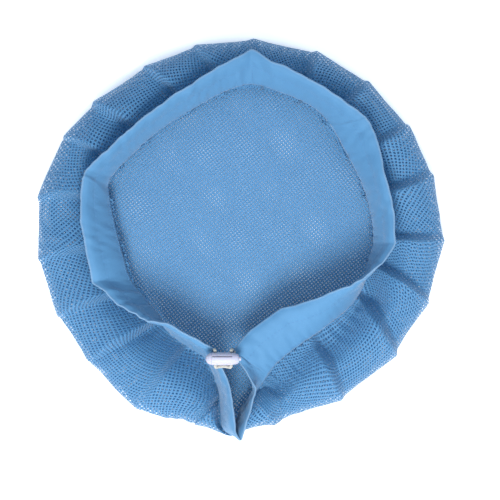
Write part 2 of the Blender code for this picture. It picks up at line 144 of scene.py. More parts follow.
# Flutes of the gathered ring, clockwise: the valley's angle at the rim and at the seam (degrees), and
# how deep it is (mm)
FLUTES = (
    (240, 238, 3.0), (219.5, 221, 8.0), (204, 203, 8.0), (187, 186, 8.0), (170, 168, 8.5),
    (151, 150, 9.0), (138.5, 138, 9.0), (120.5, 119, 8.5), (104.5, 104, 8.0), (88, 88, 5.0),
    (69, 72, 9.0), (52, 56, 9.0), (35, 39, 9.0), (19.5, 23, 9.5), (1, 5, 8.5),
    (-18, -9, 9.5), (-36.5, -24, 10.0), (-57.5, -46, 9.0), (-79, -68, 7.0), (-104, -103, 3.0),
)
FLUTE_CREST = 0.17
FLUTE_CREST_AT_RIM = 0.09
FLUTE_FALL = 1.45
FLUTE_MIDDLE = 0.62
FLUTE_STRETCH = 1.15
MEAN_RIM_RADIUS = 146 * MM
STEEP_SHARE = 2.2

# How strong the flutes are, and how straight the net runs from valley to valley, from the flat bottom
# (0) to the hem (1)
FLUTE_STRENGTH = (
    (0, 0), (0.06, 0.03), (0.2, 0.2), (0.34, 0.5), (0.5, 0.95), (0.8, 1), (0.93, 0.35), (1, 0),
)
FLUTE_STRAIGHTNESS = ((0, 0), (0.06, 0.3), (0.2, 1), (0.6, 0.8), (0.8, 0.3), (1, 0))

# Finer unevenness of the ring: pleats near the seam, in layers of a seed and a share, and lumps that
# wander sideways. Waves are the fewest and the most per lap, with the seed last where there is one.
PLEAT_WAVES = (83, 125)
PLEAT_LAYERS = ((1, 1.0), (2, 0.6))
PLEAT_DEPTH = 0.7 * MM
LUMP_WAVES = (20, 60, 3)
LUMP_SHIFT_WAVES = (3, 9, 4)
LUMP_SHIFT = 3
LUMP_TURN = 9
LUMP_DEPTH = 0.5 * MM

# Band: its sizes, half the distance between its legs at each height, and how it bows and puckers
BAND_THICKNESS = 0.5 * MM
CASING_DEPTH = 12 * MM
CORD_DEPTH = 3 * MM
CHANNEL_SPREAD = 1.5 * MM
EMPTY_SPREAD = 0.75 * MM
EDGE_SPREAD = 0.45 * MM
WAIST_SPREAD = 0.45 * MM
SEAM_SPREAD = 0.9 * MM
BAND_BOW = 3.5 * MM
FOLD_CORNERS = 0.9
BAND_PLACES = 820
LEG_STEPS = 22
FOLD_STEPS = 5
PUCKER_DEPTH = 0.35 * MM
SEAM_PUCKER_REACH = 0.45
CASING_PUCKER_REACH = 0.12
CASING_PUCKER = 0.45
FOLD_PUCKER = 1.6
CRUMPLE_DEPTH = 0.6 * MM

# Uneven lines round the band, as fewest waves, most waves and seed: at the seam, at the casing, at the
# fold, and three for the crumples
PUCKER_WAVES = (
    (60, 130, 11), (90, 200, 12), (12, 45, 13), (18, 50, 14), (3, 11, 15), (40, 90, 16),
)
SHIFT_LINE = 4

# Crumples: their uneven line, their turn up the band and how far they wander sideways (radians)
CRUMPLES = ((3, 6, 3), (5, 11, 4))

# Where the band is creased from its fold down to its seam: the station at the fold, the station at
# the seam, how deep the crease is (mm) and half its width (stations)
CREASE_SHARPNESS = 1.5
CREASE_AT_SEAM = 0.25
BAND_CREASES = (
    (6.0, 6.4, -1.6, 0.30), (9.2, 8.8, 1.2, 0.25), (13.0, 13.3, 0.8, 0.3), (15.0, 14.8, -2.6, 0.28),
    (15.6, 15.9, 1.6, 0.22), (18.0, 18.2, 1.5, 0.28), (19.4, 19.2, -0.8, 0.3), (23.4, 22.8, 1.4, 0.3),
    (24.6, 24.3, -1.5, 0.25), (26.6, 26.2, -1.0, 0.25), (2.4, 2.8, 0.9, 0.3), (3.5, 3.1, -1.2, 0.16),
    (4.2, 4.5, 1.3, 0.16), (4.9, 4.4, -1.2, 0.15), (5.5, 5.1, 1.2, 0.18),
)

# Thread
THREAD_RADIUS = 0.2 * MM
STITCH_LENGTH = 2.6 * MM
STITCH_GAP = 0.5 * MM
STITCH_SHAPE = (0.35, 0.85, 1.0, 1.0, 1.0, 0.85, 0.35)
STITCH_SIDES = 8
STITCH_SUNK = 0.6
SEAM_STITCH_HEIGHT = 2 * MM
JOIN_POINTS = 30
BINDING_RADIUS = 1.65 * MM
BINDING_ROUTE_SPACING = 0.25 * MM
BINDING_ROUTE_REACH = 3
BINDING_POINTS = 420
BINDING_WINDS = 34
BINDING_WIND_RADIUS = 0.28 * MM
BINDING_THREAD_RADIUS = 0.13 * MM
BINDING_THREAD_SIDES = 6

# Cord, and its routes outside the casing in millimetres
CORD_RADIUS = 1.1 * MM
CORD_RUN_LEFT = (
    (-19.8, -81.8, 28.6), (-19.7, -81.4, 30.5), (-19.3, -80.9, 33.0),
    (-18.9, -80.8, 35.0), (-18.6, -81.3, 36.2), (-18.5, -82.2, 36.5),
)
CORD_RUN_RIGHT = (
    (-3.9, -83.4, 27.1), (-4.7, -82.4, 29.2), (-5.9, -81.2, 31.8),
    (-6.5, -80.8, 34.5), (-6.8, -81.3, 36.1), (-6.8, -82.2, 36.5),
)
CORD_LOOP = (
    (-18.5, -82.8, 36.5), (-18.5, -86.0, 36.5), (-18.5, -89.5, 36.5), (-18.4, -92.6, 36.2),
    (-17.8, -93.6, 35.2), (-16.2, -93.4, 34.2), (-12.6, -93.0, 33.5), (-9.1, -93.4, 34.2),
    (-7.5, -93.6, 35.2), (-6.9, -92.6, 36.2), (-6.8, -89.5, 36.5), (-6.8, -86.0, 36.5),
    (-6.8, -82.8, 36.5),
)
CORD_SPACING = 0.12 * MM
CORD_SIDES = 42
HIDDEN_CORD_SHARE = 0.95
HIDDEN_CORD_SIDES = 12
STRANDS = 6
STRAND_LENGTH = 2.4 * MM
BRAID_RELIEF = 0.1
BRAID_MIDDLE = 0.6

# Cord lock: its centre line, and the barrel's outline as distance from the left end and radius
LOCK_LEFT_END = -25.5 * MM
LOCK_Y = -87.45 * MM
LOCK_Z = 36.5 * MM
LOCK_TALLNESS = 1.05
LOCK_PROFILE = (
    (0, 0), (0.25, 1.6), (1.0, 2.9), (2.3, 3.9), (4.3, 4.5), (7.5, 4.75),
    (15.5, 4.75), (18.5, 4.65), (20.5, 4.4), (22.5, 3.9), (23.6, 3.4), (24.4, 2.7), (24.4, 0),
)
LOCK_PROFILE_STEPS = 6
LOCK_PROFILE_MARGIN = 0.05 * MM
LOCK_SIDES = 96
CAP_SPLIT_X = -21.2 * MM
CAP_SPLIT_GAP = 0.1 * MM
CAVITY_RADIUS = 2.9 * MM
CAVITY_LEFT_X = -23.0 * MM
CAVITY_RIGHT_X = -2.3 * MM
SPRING_POCKET_RADIUS = 2.0 * MM
SPRING_POCKET_X = -24.4 * MM
NUB_HOLE_RADIUS = 1.9 * MM
CORD_HOLE_X = (-18.5 * MM, -6.8 * MM)
CORD_HOLE_RADIUS = 1.5 * MM
CORD_HOLE_SIDES = 48
CUTTER_REACH = 8 * MM
GROOVE_Y = -85.8 * MM
GROOVE_LEFT_X = -20.7 * MM
GROOVE_RIGHT_X = -6.0 * MM
GROOVE_WIDTH = 0.8 * MM
GROOVE_FLOOR = 3.2 * MM
MOULDED_EDGE = 0.2 * MM
CREASE_ANGLE = math.radians(32)
PLUNGER_RADIUS = 2.6 * MM
PLUNGER_LEFT_X = -20.9 * MM
PLUNGER_SHOULDER_X = -2.6 * MM
NUB_RADIUS = 1.55 * MM
NUB_END_X = 0.5 * MM
NUB_DOME = 0.4 * MM
PLUNGER_SIDES = 64
PLUNGER_EDGE = 0.15 * MM
PLUNGER_STROKE = 1.8 * MM
SLOT_HALF_HEIGHT = 1.4 * MM
SLOT_CLEARANCE = 0.3 * MM
SLOT_REACH = 4 * MM
SLOT_SIDES = 40
SPRING_RADIUS = 1.45 * MM
SPRING_WIRE_RADIUS = 0.15 * MM
SPRING_TURNS = 3
SPRING_STEPS = 48
SPRING_SIDES = 12
SPRING_LEFT_X = -24.05 * MM
SPRING_RIGHT_X = -21.35 * MM

# Camera: straight down, this far above the floor, over this point
CAMERA_HEIGHT = 3.0
CAMERA_OVER = (7.0 * MM, -7.7 * MM)
CAMERA_SPAN = 368.6 * MM
SENSOR_WIDTH = 36.0

# Colours (linear), and the shares of light that thin cloth lets through
NET_BLUE = (0.105, 0.300, 0.51)
NET_BLUE_DEEP = (0.086, 0.268, 0.48)
# Painted shade: the colour that the net's threads darken to at their edges
NET_EDGE_SHADE = (0.064, 0.228, 0.442)
NET_LIGHT_THROUGH = 0.3
BAND_BLUE = (0.103, 0.296, 0.512)
BAND_BLUE_DEEP = (0.091, 0.273, 0.488)
# The colour of the painted highlight along the band's fold
BAND_FOLD_HIGHLIGHT = (0.42, 0.47, 0.52)
BAND_LIGHT_THROUGH = 0.2
THREAD_BLUE = (0.096, 0.267, 0.474)
# Painted shade: the thread's colour in the grooves between its plies
THREAD_GROOVE_SHADE = (0.059, 0.185, 0.37)
CORD_CREAM = (0.52, 0.49, 0.42)
CORD_CREAM_DEEP = (0.44, 0.41, 0.35)
LOCK_WHITE = (0.45, 0.435, 0.525)
LOCK_WHITE_DEEP = (0.415, 0.40, 0.49)
STEEL = (0.60, 0.60, 0.62)
STEEL_DEEP = (0.45, 0.45, 0.47)

# Patterns in the materials. The net's texture counts holes, and the others' counts millimetres.
THREAD_EDGE = 0.26
FIBRES_PER_HOLE = 9
FIBRE_RELIEF = 0.07
WEAVE_PITCH = 0.42
YARN_SHADE = 0.06
# The painted highlight along the band's fold: its width (mm) and its strength
FOLD_HIGHLIGHT_WIDTH = 1.3
FOLD_HIGHLIGHT_SHARE = 0.3
PLY_LENGTH = 0.5
FILAMENT_LENGTH = 0.5
FILAMENTS_PER_STRAND = 5
DRAWN_LINES = 24

# Stage: the floor glows a little within the first reach and more beyond the second, so that the net's
# holes look light and the bag's shadow stays faint
FLOOR_SIZE = 6.0
FLOOR_DROP = 0.05 * MM
FLOOR_WHITE = (0.9, 0.9, 0.9)
INNER_GLOW = 0.04
INNER_GLOW_REACH = (85 * MM, 105 * MM)
OUTER_GLOW = 0.55
OUTER_GLOW_REACH = (140 * MM, 152 * MM)
SKY_COLOUR = (0.76, 0.92, 1.12)
SKY_STRENGTH = 0.82
LAMP_PLACE = (-0.1, -1.2, 1.5)
LAMP_SIZE = 0.9
LAMP_POWER = 47.0


def make_camera():
    data = bpy.data.cameras.new("camera")
    data.sensor_width = SENSOR_WIDTH
    data.lens = SENSOR_WIDTH * (CAMERA_HEIGHT - LOCK_Z / 2) / CAMERA_SPAN
    camera = bpy.data.objects.new("camera", data)
    camera.location = (*CAMERA_OVER, CAMERA_HEIGHT)
    bpy.context.collection.objects.link(camera)
    bpy.context.scene.camera = camera


# ---------------------------------------------------------------- small helpers


def add_mesh(name, vertices, faces, uv=None, smooth=True):
    """A mesh object. uv is one place for each vertex."""
    mesh = bpy.data.meshes.new(name)
    mesh.from_pydata(np.asarray(vertices).tolist(), [], faces)
    if uv is not None:
        corners = np.empty(len(mesh.loops), dtype=np.int32)
        mesh.loops.foreach_get("vertex_index", corners)
        layer = mesh.uv_layers.new(name="UVMap")
        layer.data.foreach_set("uv", np.asarray(uv, dtype=np.float32)[corners].ravel())
    if smooth:
        mesh.shade_smooth()
    mesh.update()
    thing = bpy.data.objects.new(name, mesh)
    bpy.context.collection.objects.link(thing)
    return thing


def place_piece(thing, body, slot, material, *nodes):
    """Gives a finished piece its material and its body, and hides the CAD nodes that it stands for."""
    thing.data.materials.clear()
    thing.data.materials.append(material)
    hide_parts(*nodes)
    if body is not None:
        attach(thing, body)
    return thing


def smoothstep(x):
    x = np.clip(x, 0.0, 1.0)
    return x * x * (3 - 2 * x)


def ramp(x, start, end):
    """0 up to the start, 1 from the end on, and smooth between them."""
    return smoothstep((x - start) / (end - start))


def three_laps(values, lap):
    """Values that grow round a lap, for the lap before, for this one and for the next."""
    return np.concatenate((values - lap, values, values + lap))


def unit(vectors):
    return vectors / np.linalg.norm(vectors, axis=-1, keepdims=True)


def catmull_rom(before, start, end, after, t):
    """A place on the smooth curve from start to end."""
    return 0.5 * (
        2 * start
        + (end - before) * t
        + (2 * before - 5 * start + 4 * end - after) * t * t
        + (3 * start - before - 3 * end + after) * t ** 3
    )


def bezier(a, b, c, d, t):
    """Points on one curve for each row of a, b, c and d: rows by steps by 3."""
    s = 1 - t
    a, b, c, d = (np.asarray(p)[:, None, :] for p in (a, b, c, d))
    t, s = t[None, :, None], s[None, :, None]
    return a * s ** 3 + b * (3 * s * s * t) + c * (3 * s * t * t) + d * t ** 3


def reach_along(points):
    """The distance along a line to each of its points."""
    return np.concatenate(([0.0], np.cumsum(np.linalg.norm(np.diff(points, axis=0), axis=1))))


def points_at(wanted, reach, points):
    """The places on a line at the wanted distances along it."""
    return np.stack([np.interp(wanted, reach, column) for column in points.T], axis=1)


def smooth_curve(rows, steps):
    """A smooth curve through all rows but the first and the last, in millimetres, as metres."""
    rows = np.array(rows, dtype=float)
    t = np.linspace(0, 1, steps, endpoint=False)[:, None]
    curve = [catmull_rom(*rows[i:i + 4, None], t) for i in range(len(rows) - 3)]
    return np.concatenate((*curve, rows[-1:])) * MM


def smooth_route(points, spacing):
    """Evenly spaced points on a smooth curve through a route in millimetres, as metres."""
    curve = smooth_curve([points[0], *points, points[-1]], CURVE_STEPS)
    reach = reach_along(curve)
    count = max(2, round(reach[-1] / spacing)) + 1
    return points_at(np.linspace(0.0, reach[-1], count), reach, curve)


def wander(count, low, high, seed):
    """A smooth closed line of random heights about 0, with waves from low to high per lap."""
    random = np.random.default_rng(seed)
    lap = np.arange(count) * (2 * math.pi / count)
    waves = np.arange(low, high + 1)
    sizes = random.uniform(0.4, 1.0, len(waves))
    starts = random.uniform(0, 2 * math.pi, len(waves))
    line = (sizes[:, None] * np.cos(waves[:, None] * lap + starts[:, None])).sum(axis=0)
    return line / np.abs(line).max()


def grid_uv(u, v):
    """Texture places for a grid of vertices that are numbered row by row."""
    return np.stack(np.broadcast_arrays(u[:, None], v[None, :]), axis=-1).reshape(-1, 2)


def grid_faces(rows, columns, closed_rows=False, closed_columns=False):
    """Quads of a grid of vertices that are numbered row by row."""
    i = np.arange(rows if closed_rows else rows - 1)[:, None]
    j = np.arange(columns if closed_columns else columns - 1)[None, :]
    here, there = i * columns, (i + 1) % rows * columns
    after = (j + 1) % columns
    faces = np.stack(np.broadcast_arrays(here + j, here + after, there + after, there + j), axis=-1)
    return faces.reshape(-1, 4).tolist()


# ---------------------------------------------------------------- the mouth


def station_values(places):
    """STATIONS at fractional places along it, in radians and metres."""
    first = np.floor(places).astype(int)
    rows = []
    for k in (-1, 0, 1, 2):
        lap = (first + k) // STATION_COUNT
        row = STATIONS[(first + k) % STATION_COUNT].copy()
        row[:, 0] -= 360.0 * lap
        rows.append(row)
    share = (places - first)[:, None]
    values = catmull_rom(*rows, share)
    straight = rows[1] + (rows[2] - rows[1]) * share
    values[:, 6:] += FOLD_CORNERS * (straight - values)[:, 6:]
    values[:, 0] = np.radians(values[:, 0])
    values[:, 1:] *= MM
    return values


def even_places(count):
    """Fractional stations that are evenly spaced along the middle of the band, for one lap."""
    fine = np.linspace(0, STATION_COUNT, 8 * STATION_COUNT + 1)
    values = station_values(fine)
    reach = reach_along((values[:, 3:6] + values[:, 6:9]) / 2)
    return np.interp(np.arange(count) * (reach[-1] / count), reach, fine)


def mouth_at(places):
    """The rim and the mouth at each place, with the band's own directions up its face and across it,
    and how much of the cord is in its casing there."""
    values = station_values(places)
    step = 0.05
    along = np.zeros((len(places), 3))
    for shift in (-step, step):
        moved = station_values(places + shift)
        along += math.copysign(1, shift) * (moved[:, 3:6] + moved[:, 6:9])
    seam, fold = values[:, 3:6], values[:, 6:9]
    rise = fold - seam
    angle = values[:, 0]
    station = places % STATION_COUNT
    corded = 1 - smoothstep((station - RIGHT_BUTTONHOLE_STATION) / BUTTONHOLE_RUN)
    corded = np.maximum(corded, smoothstep(station - STATION_COUNT + BUTTONHOLE_RUN))
    return {
        "corded": corded, "station": station,
        "angle": angle,
        "outward": np.stack((np.cos(angle), np.sin(angle), np.zeros(len(angle))), axis=1),
        "radius": values[:, 1:2], "crest": values[:, 2:3], "seam": seam, "fold": fold,
        "width": np.linalg.norm(rise, axis=1), "up": unit(rise), "along": unit(along),
        "across": unit(np.cross(along, rise)),
    }


# ---------------------------------------------------------------- net


def laid_along(line):
    """Points on a ring line as the cloth lies on it: even where the line is long, and where it is short,
    unsqueezed up to the part beneath the band, which takes up the rest."""
    reach = reach_along(line)
    cloth = FLAT_RADIUS - FLAT_BOTTOM_RADIUS
    open_run = reach[-1] - HIDDEN_RUN
    open_cloth = open_run * min(1.0, cloth / reach[-1])
    places = np.linspace(0, cloth, RING_STEPS)
    wanted = np.interp(places, (0, open_cloth, cloth), (0, open_run, reach[-1]))
    return points_at(wanted, reach, line)


def ring_lines(mouth):
    """The net's line at each place, from the flat bottom to its hem: places by steps by 3."""
    lift = np.array((0.0, 0.0, 1.0))
    outward, up = mouth["outward"], mouth["up"]
    rim_height = RIM_HEIGHT * mouth["crest"]
    rim = outward * mouth["radius"] + lift * rim_height
    inner = outward * (mouth["radius"] - RIM_RUN) + lift * NET_LIFT
    seam = mouth["seam"] - up * SEAM_APPROACH
    turn = up * np.minimum(TURN_LENGTH, (seam[:, 2:] - TURN_LOWEST) / up[:, 2:])
    crest = rim + (seam - rim) * CREST_PLACE
    crest[:, 2:] = mouth["crest"] + CREST_LIFT
    across = (seam - rim) * (1.0, 1.0, 0.0)
    out = outward * (RIM_HANDLE * RIM_RUN)
    down = lift * (RIM_HANDLE * rim_height)
    rise = lift * (RISE_HANDLE * (crest[:, 2:] - rim_height))
    before, after = across * CREST_HANDLES[0], across * CREST_HANDLES[1]
    t = np.linspace(0, 1, CURVE_STEPS)
    pieces = [
        bezier(inner, inner + out, rim - down, rim, t),
        bezier(rim, rim + rise, crest - before, crest, t)[:, 1:],
        bezier(crest, crest + after, seam - turn, seam, t)[:, 1:],
        (mouth["seam"] + up * HEM_DEPTH)[:, None],
    ]
    return np.stack([laid_along(line) for line in np.concatenate(pieces, axis=1)])


def flute_crest(step):
    """How much of a flute is its steep side, clockwise from the valley: less at the rim."""
    return FLUTE_CREST_AT_RIM + (FLUTE_CREST - FLUTE_CREST_AT_RIM) * ramp(step, 0.2, 0.5)


def flute_heights(angles):
    """How far the net stands off its plain ring at each place and step, and which flute each place is
    in and how far round it: a steep side and a gentle side to each flute, clockwise."""
    steps = np.linspace(0, 1, RING_STEPS)
    at_rim, at_seam, depth = np.array(FLUTES).T
    start, end = FIRST_ANGLE - at_rim, FIRST_ANGLE - at_seam
    depth = np.concatenate((depth[-1:], depth, depth[:1])) * MM
    clockwise = (FIRST_ANGLE - np.degrees(angles)) % 360
    strength = np.interp(steps, *zip(*FLUTE_STRENGTH))
    straightness = np.interp(steps, *zip(*FLUTE_STRAIGHTNESS))
    heights = np.empty((len(angles), RING_STEPS))
    phases = np.empty((len(angles), RING_STEPS))
    for j, step in enumerate(steps):
        valley = start + (end - start) * smoothstep(step)
        valley = np.concatenate((valley[-1:] - 360, valley, valley[:1] + 360))
        left = np.searchsorted(valley, clockwise, side="right") - 1
        share = (clockwise - valley[left]) / (valley[left + 1] - valley[left])
        deep = depth[left] + (depth[left + 1] - depth[left]) * share
        crest = flute_crest(step)
        falling = np.clip((share - crest) / (1 - crest), 0, 1)
        rise = np.where(share < crest, smoothstep(share / crest), 1 - falling ** FLUTE_FALL)
        bulge = MEAN_RIM_RADIUS * np.radians(valley[left + 1] - valley[left]) ** 2 / 8
        sag = FLUTE_STRETCH * bulge * (2 / 3 - 4 * falling * (1 - falling))
        heights[:, j] = strength[j] * deep * (rise - FLUTE_MIDDLE) + straightness[j] * sag
        phases[:, j] = left + share
    return heights, phases


def flat_angles(surface, turned, phases):
    """The flat angle (degrees, clockwise) of each point of the ring. A flute takes the same wedge of
    cloth all the way up, and the cloth is spread evenly over the flute, with more of it in the steep
    side than on the gentle one."""
    count = len(FLUTES)
    starts = FIRST_ANGLE - np.array(FLUTES)[:, 0]
    mark_angle = np.concatenate((starts[-2:] - 360, starts, starts[:2] + 360))
    marks = np.arange(-1, count + 3)
    angles = np.empty(phases.shape)
    for j in range(RING_STEPS):
        phase = np.unwrap(phases[:, j], period=count)
        weight = np.linalg.norm(np.roll(surface[:, j], -1, axis=0) - surface[:, j], axis=1)
        steep = STEEP_SHARE * ramp(j / RING_STEPS, 0.2, 0.8)
        weight = weight * np.where(phase % 1 < flute_crest(j / RING_STEPS), 1 + steep, 1.0)
        reach = np.concatenate(([0.0], np.cumsum(np.tile(weight, 3))))
        lap = np.concatenate((three_laps(phase, count), phase[:1] + 2 * count))
        mark_reach = np.interp(marks, lap, reach)
        angles[:, j] = np.interp(reach[RING_PLACES:2 * RING_PLACES], mark_reach, mark_angle)
    even = ramp(np.linspace(0, 1, RING_STEPS), 0.05, 0.25)
    return turned[:, None] * (1 - even) + angles * even


def ring_surface():
    """The gathered ring as a grid of points, and the flat angle of each of them."""
    mouth = mouth_at(even_places(RING_PLACES))
    lines = ring_lines(mouth)
    along = np.roll(lines, -1, axis=0) - np.roll(lines, 1, axis=0)
    inward = np.gradient(lines, axis=1)
    normal = unit(np.cross(inward, along))
    heights, phases = flute_heights(mouth["angle"])

    steps = np.linspace(0, 1, RING_STEPS)
    gather = ramp(steps, 0.6, 0.9) * (1 - 0.5 * ramp(steps, 0.9, 1))
    for seed, share in PLEAT_LAYERS:
        pleats = wander(RING_PLACES, *PLEAT_WAVES, seed)
        heights += share * PLEAT_DEPTH * pleats[:, None] * gather
    lumps = wander(RING_PLACES, *LUMP_WAVES)[:, None]
    shift = LUMP_SHIFT * wander(RING_PLACES, *LUMP_SHIFT_WAVES)[:, None]
    lumps = lumps * np.sin(steps * LUMP_TURN + shift)
    heights += LUMP_DEPTH * lumps * ramp(steps, 0, 0.2) * (1 - ramp(steps, 0.8, 1))
    surface = lines + normal * heights[:, :, None]
    surface[:, :, 2] = np.maximum(surface[:, :, 2], NET_LIFT)
    turned = FIRST_ANGLE - np.degrees(np.unwrap(mouth["angle"]))
    return surface, flat_angles(surface, turned, phases)


def bilinear(grid, rows, columns):
    """Values of a grid at fractional rows and columns; the rows are a closed lap."""
    count = len(grid)
    r0 = np.floor(rows).astype(int)
    c0 = np.clip(np.floor(columns).astype(int), 0, grid.shape[1] - 2)
    fr, fc = rows - r0, columns - c0
    if grid.ndim == 3:
        fr, fc = fr[:, None], fc[:, None]
    near = grid[r0 % count, c0] * (1 - fc) + grid[r0 % count, c0 + 1] * fc
    far = grid[(r0 + 1) % count, c0] * (1 - fc) + grid[(r0 + 1) % count, c0 + 1] * fc
    return near * (1 - fr) + far * fr


def on_ring(surface, flat_angle, clockwise, share):
    """Where points of the flat ring go, from their flat angle and their share of the way to the hem."""
    column = share * (RING_STEPS - 1)
    wanted = np.arange(360 * PLACES_PER_DEGREE) / PLACES_PER_DEGREE
    laps = np.arange(-RING_PLACES, 2 * RING_PLACES)
    columns = [np.interp(wanted, three_laps(angles, 360), laps) for angles in flat_angle.T]
    place_of = np.stack(columns, axis=1)
    row = clockwise * PLACES_PER_DEGREE
    first = np.floor(row).astype(int)
    near = bilinear(place_of, first.astype(float), column)
    far = bilinear(place_of, (first + 1).astype(float), column)
    far = np.where(far < near - RING_PLACES / 2, far + RING_PLACES, far)
    return bilinear(surface, near + (far - near) * (row - first), column)


def on_bottom(clockwise, share, surface, flat_angle):
    """Where points of the flat bottom go: a slightly wavy disc as wide as the ring's first line."""
    angle = np.radians(FIRST_ANGLE - clockwise)
    edge = np.tile(np.linalg.norm(surface[:, 0, :2], axis=1), 3)
    wide = np.interp(clockwise, three_laps(flat_angle[:, 0], 360), edge)
    reach = share * edge.mean() + (wide - edge.mean()) * share ** 6
    x, y = reach * np.cos(angle), reach * np.sin(angle)
    wave = np.zeros(len(x))
    for heading, length, start in BOTTOM_WAVES:
        way = x * math.cos(math.radians(heading)) + y * math.sin(math.radians(heading))
        wave += np.sin(way * (2 * math.pi / (length * MM)) + start) / len(BOTTOM_WAVES)
    lift = (BOTTOM_HEIGHT + BOTTOM_WAVE_HEIGHT * wave) * (1 - ramp(share, 0.8, 1))
    return np.stack((x, y, NET_LIFT + np.maximum(lift, 0)), axis=1)


def flat_net():
    """The disc of net before it is gathered: vertices, quads and octagons, with a hole in each cell."""
    half, cut = HOLE_HALF_WIDTH, HOLE_HALF_WIDTH - HOLE_CORNER
    hole = np.array((
        (half, -cut), (half, cut), (cut, half), (-cut, half),
        (-half, cut), (-half, -cut), (-cut, -half), (cut, -half),
    ))
    reach = int(FLAT_RADIUS / HOLE_PITCH) + 1
    numbers = np.arange(-reach, reach + 1)
    i, j = np.meshgrid(numbers, numbers, indexing="ij")
    inside = np.hypot(i, j) * HOLE_PITCH < FLAT_RADIUS - HOLE_PITCH
    order = np.full(inside.shape, -1)
    order[inside] = np.arange(inside.sum())
    centres = np.stack((i[inside], j[inside]), axis=1) * HOLE_PITCH
    vertices = (centres[:, None] + hole[None]).reshape(-1, 2)

    here, right = order[:-1, :-1], order[1:, :-1]
    above, corner = order[:-1, 1:], order[1:, 1:]

    def joined(*cells_and_corners):
        """Faces from the given corner of each of the given cells, where all the cells exist."""
        cells = np.stack([cell for cell, _ in cells_and_corners], axis=-1)
        corners = np.array([place for _, place in cells_and_corners])
        cells = cells[(cells >= 0).all(axis=-1)]
        return cells * 8 + corners

    quads = np.concatenate((
        joined((here, 0), (right, 5), (right, 4), (here, 1)),
        joined((here, 3), (here, 2), (above, 7), (above, 6)),
    ))
    knots = joined(
        (here, 1), (right, 4), (right, 3), (corner, 6),
        (corner, 5), (above, 0), (above, 7), (here, 2),
    )
    return vertices, quads, knots


def carried_over(flat):
    """The flat disc's points in their places on the bag."""
    surface, flat_angle = ring_surface()
    turned_x = flat[:, 0] * math.cos(LATTICE_TURN) - flat[:, 1] * math.sin(LATTICE_TURN)
    turned_y = flat[:, 0] * math.sin(LATTICE_TURN) + flat[:, 1] * math.cos(LATTICE_TURN)
    distance = np.hypot(turned_x, turned_y)
    clockwise = (FIRST_ANGLE - np.degrees(np.arctan2(turned_y, turned_x))) % 360
    is_ring = distance > FLAT_BOTTOM_RADIUS
    places = np.empty((len(flat), 3))
    share = distance / FLAT_BOTTOM_RADIUS
    places[~is_ring] = on_bottom(clockwise[~is_ring], share[~is_ring], surface, flat_angle)
    share = (distance - FLAT_BOTTOM_RADIUS) / (FLAT_RADIUS - FLAT_BOTTOM_RADIUS)
    places[is_ring] = on_ring(surface, flat_angle, clockwise[is_ring], share[is_ring])
    return places, is_ring


def make_net(material):
    """The net in two pieces that meet along the threads where the rim starts to rise."""
    flat, quads, knots = flat_net()
    places, is_ring = carried_over(flat)
    pieces = []
    for name, wanted in (("net_bottom", False), ("net_side", True)):
        faces = [group[(is_ring[group].mean(axis=1) > 0.5) == wanted] for group in (quads, knots)]
        used = np.unique(np.concatenate([group.ravel() for group in faces]))
        renumbered = np.empty(len(flat), dtype=int)
        renumbered[used] = np.arange(len(used))
        lists = [corners[::-1] for group in faces for corners in renumbered[group].tolist()]
        pieces.append(add_mesh(name, places[used], lists, uv=flat[used] / HOLE_PITCH))
    bottom, side = pieces
    place_piece(bottom, "bag", "net", material, "mesh_bottom")
    place_piece(side, "bag", "net", material, "mesh_rim", "mesh_top")
    return bottom, side


# ---------------------------------------------------------------- band


def band_spread(mouth, height):
    """Half the distance between the band's two legs at a height above the seam: they meet at the
    casing's stitches, stand apart round the cord, and close to a crisp edge at the fold. The casing
    between the two buttonholes has no cord in it."""
    width = mouth["width"]
    waist = width - CASING_DEPTH
    cord_height = width - CORD_DEPTH
    channel = EMPTY_SPREAD + (CHANNEL_SPREAD - EMPTY_SPREAD) * mouth["corded"]
    below = SEAM_SPREAD + (WAIST_SPREAD - SEAM_SPREAD) * smoothstep(height / waist)
    above = WAIST_SPREAD + (channel - WAIST_SPREAD) * np.sqrt(ramp(height, waist, cord_height))
    above = above + (EDGE_SPREAD - channel) * ramp(height, cord_height, width - EDGE_SPREAD)
    return np.where(height < waist, below, above)


def band_shape(mouth, lines):
    """A function from heights above the seam and offsets across the band to points: the band bows, is
    creased and crumpled, and puckers next to its two lines of stitches."""
    width, station = mouth["width"], mouth["station"]
    across, up, seam = mouth["across"], mouth["up"], mouth["seam"]
    waist_share = (width - CASING_DEPTH) / width

    def shaped(height, offset):
        share = np.clip(height / width, 0, 1)
        lean = across[:, 2] * BAND_BOW * 4 * share * (1 - share)
        puckers = lines[0] * np.exp(-((share / SEAM_PUCKER_REACH) ** 2))
        near_waist = np.exp(-(((share - waist_share) / CASING_PUCKER_REACH) ** 2))
        puckers = puckers + CASING_PUCKER * lines[1] * near_waist + FOLD_PUCKER * lines[2] * share
        crumple = sum(
            lines[line] * np.sin(turn * share + shift * lines[SHIFT_LINE])
            for line, turn, shift in CRUMPLES
        )
        ripple = PUCKER_DEPTH * puckers + CRUMPLE_DEPTH * crumple * np.sqrt(share)
        fading = CREASE_AT_SEAM + (1 - CREASE_AT_SEAM) * share
        for at_fold, at_seam, depth, half_width in BAND_CREASES:
            beside = (station - at_seam - (at_fold - at_seam) * share) / half_width
            ripple = ripple + depth * MM * fading * np.exp(-np.abs(beside) ** CREASE_SHARPNESS)
        return seam + up * height[:, None] + across * (offset + lean + ripple)[:, None]

    return shaped


def uneven_lines():
    """The band's uneven lines, one height for each of its places."""
    return [wander(BAND_PLACES, *waves) for waves in PUCKER_WAVES]


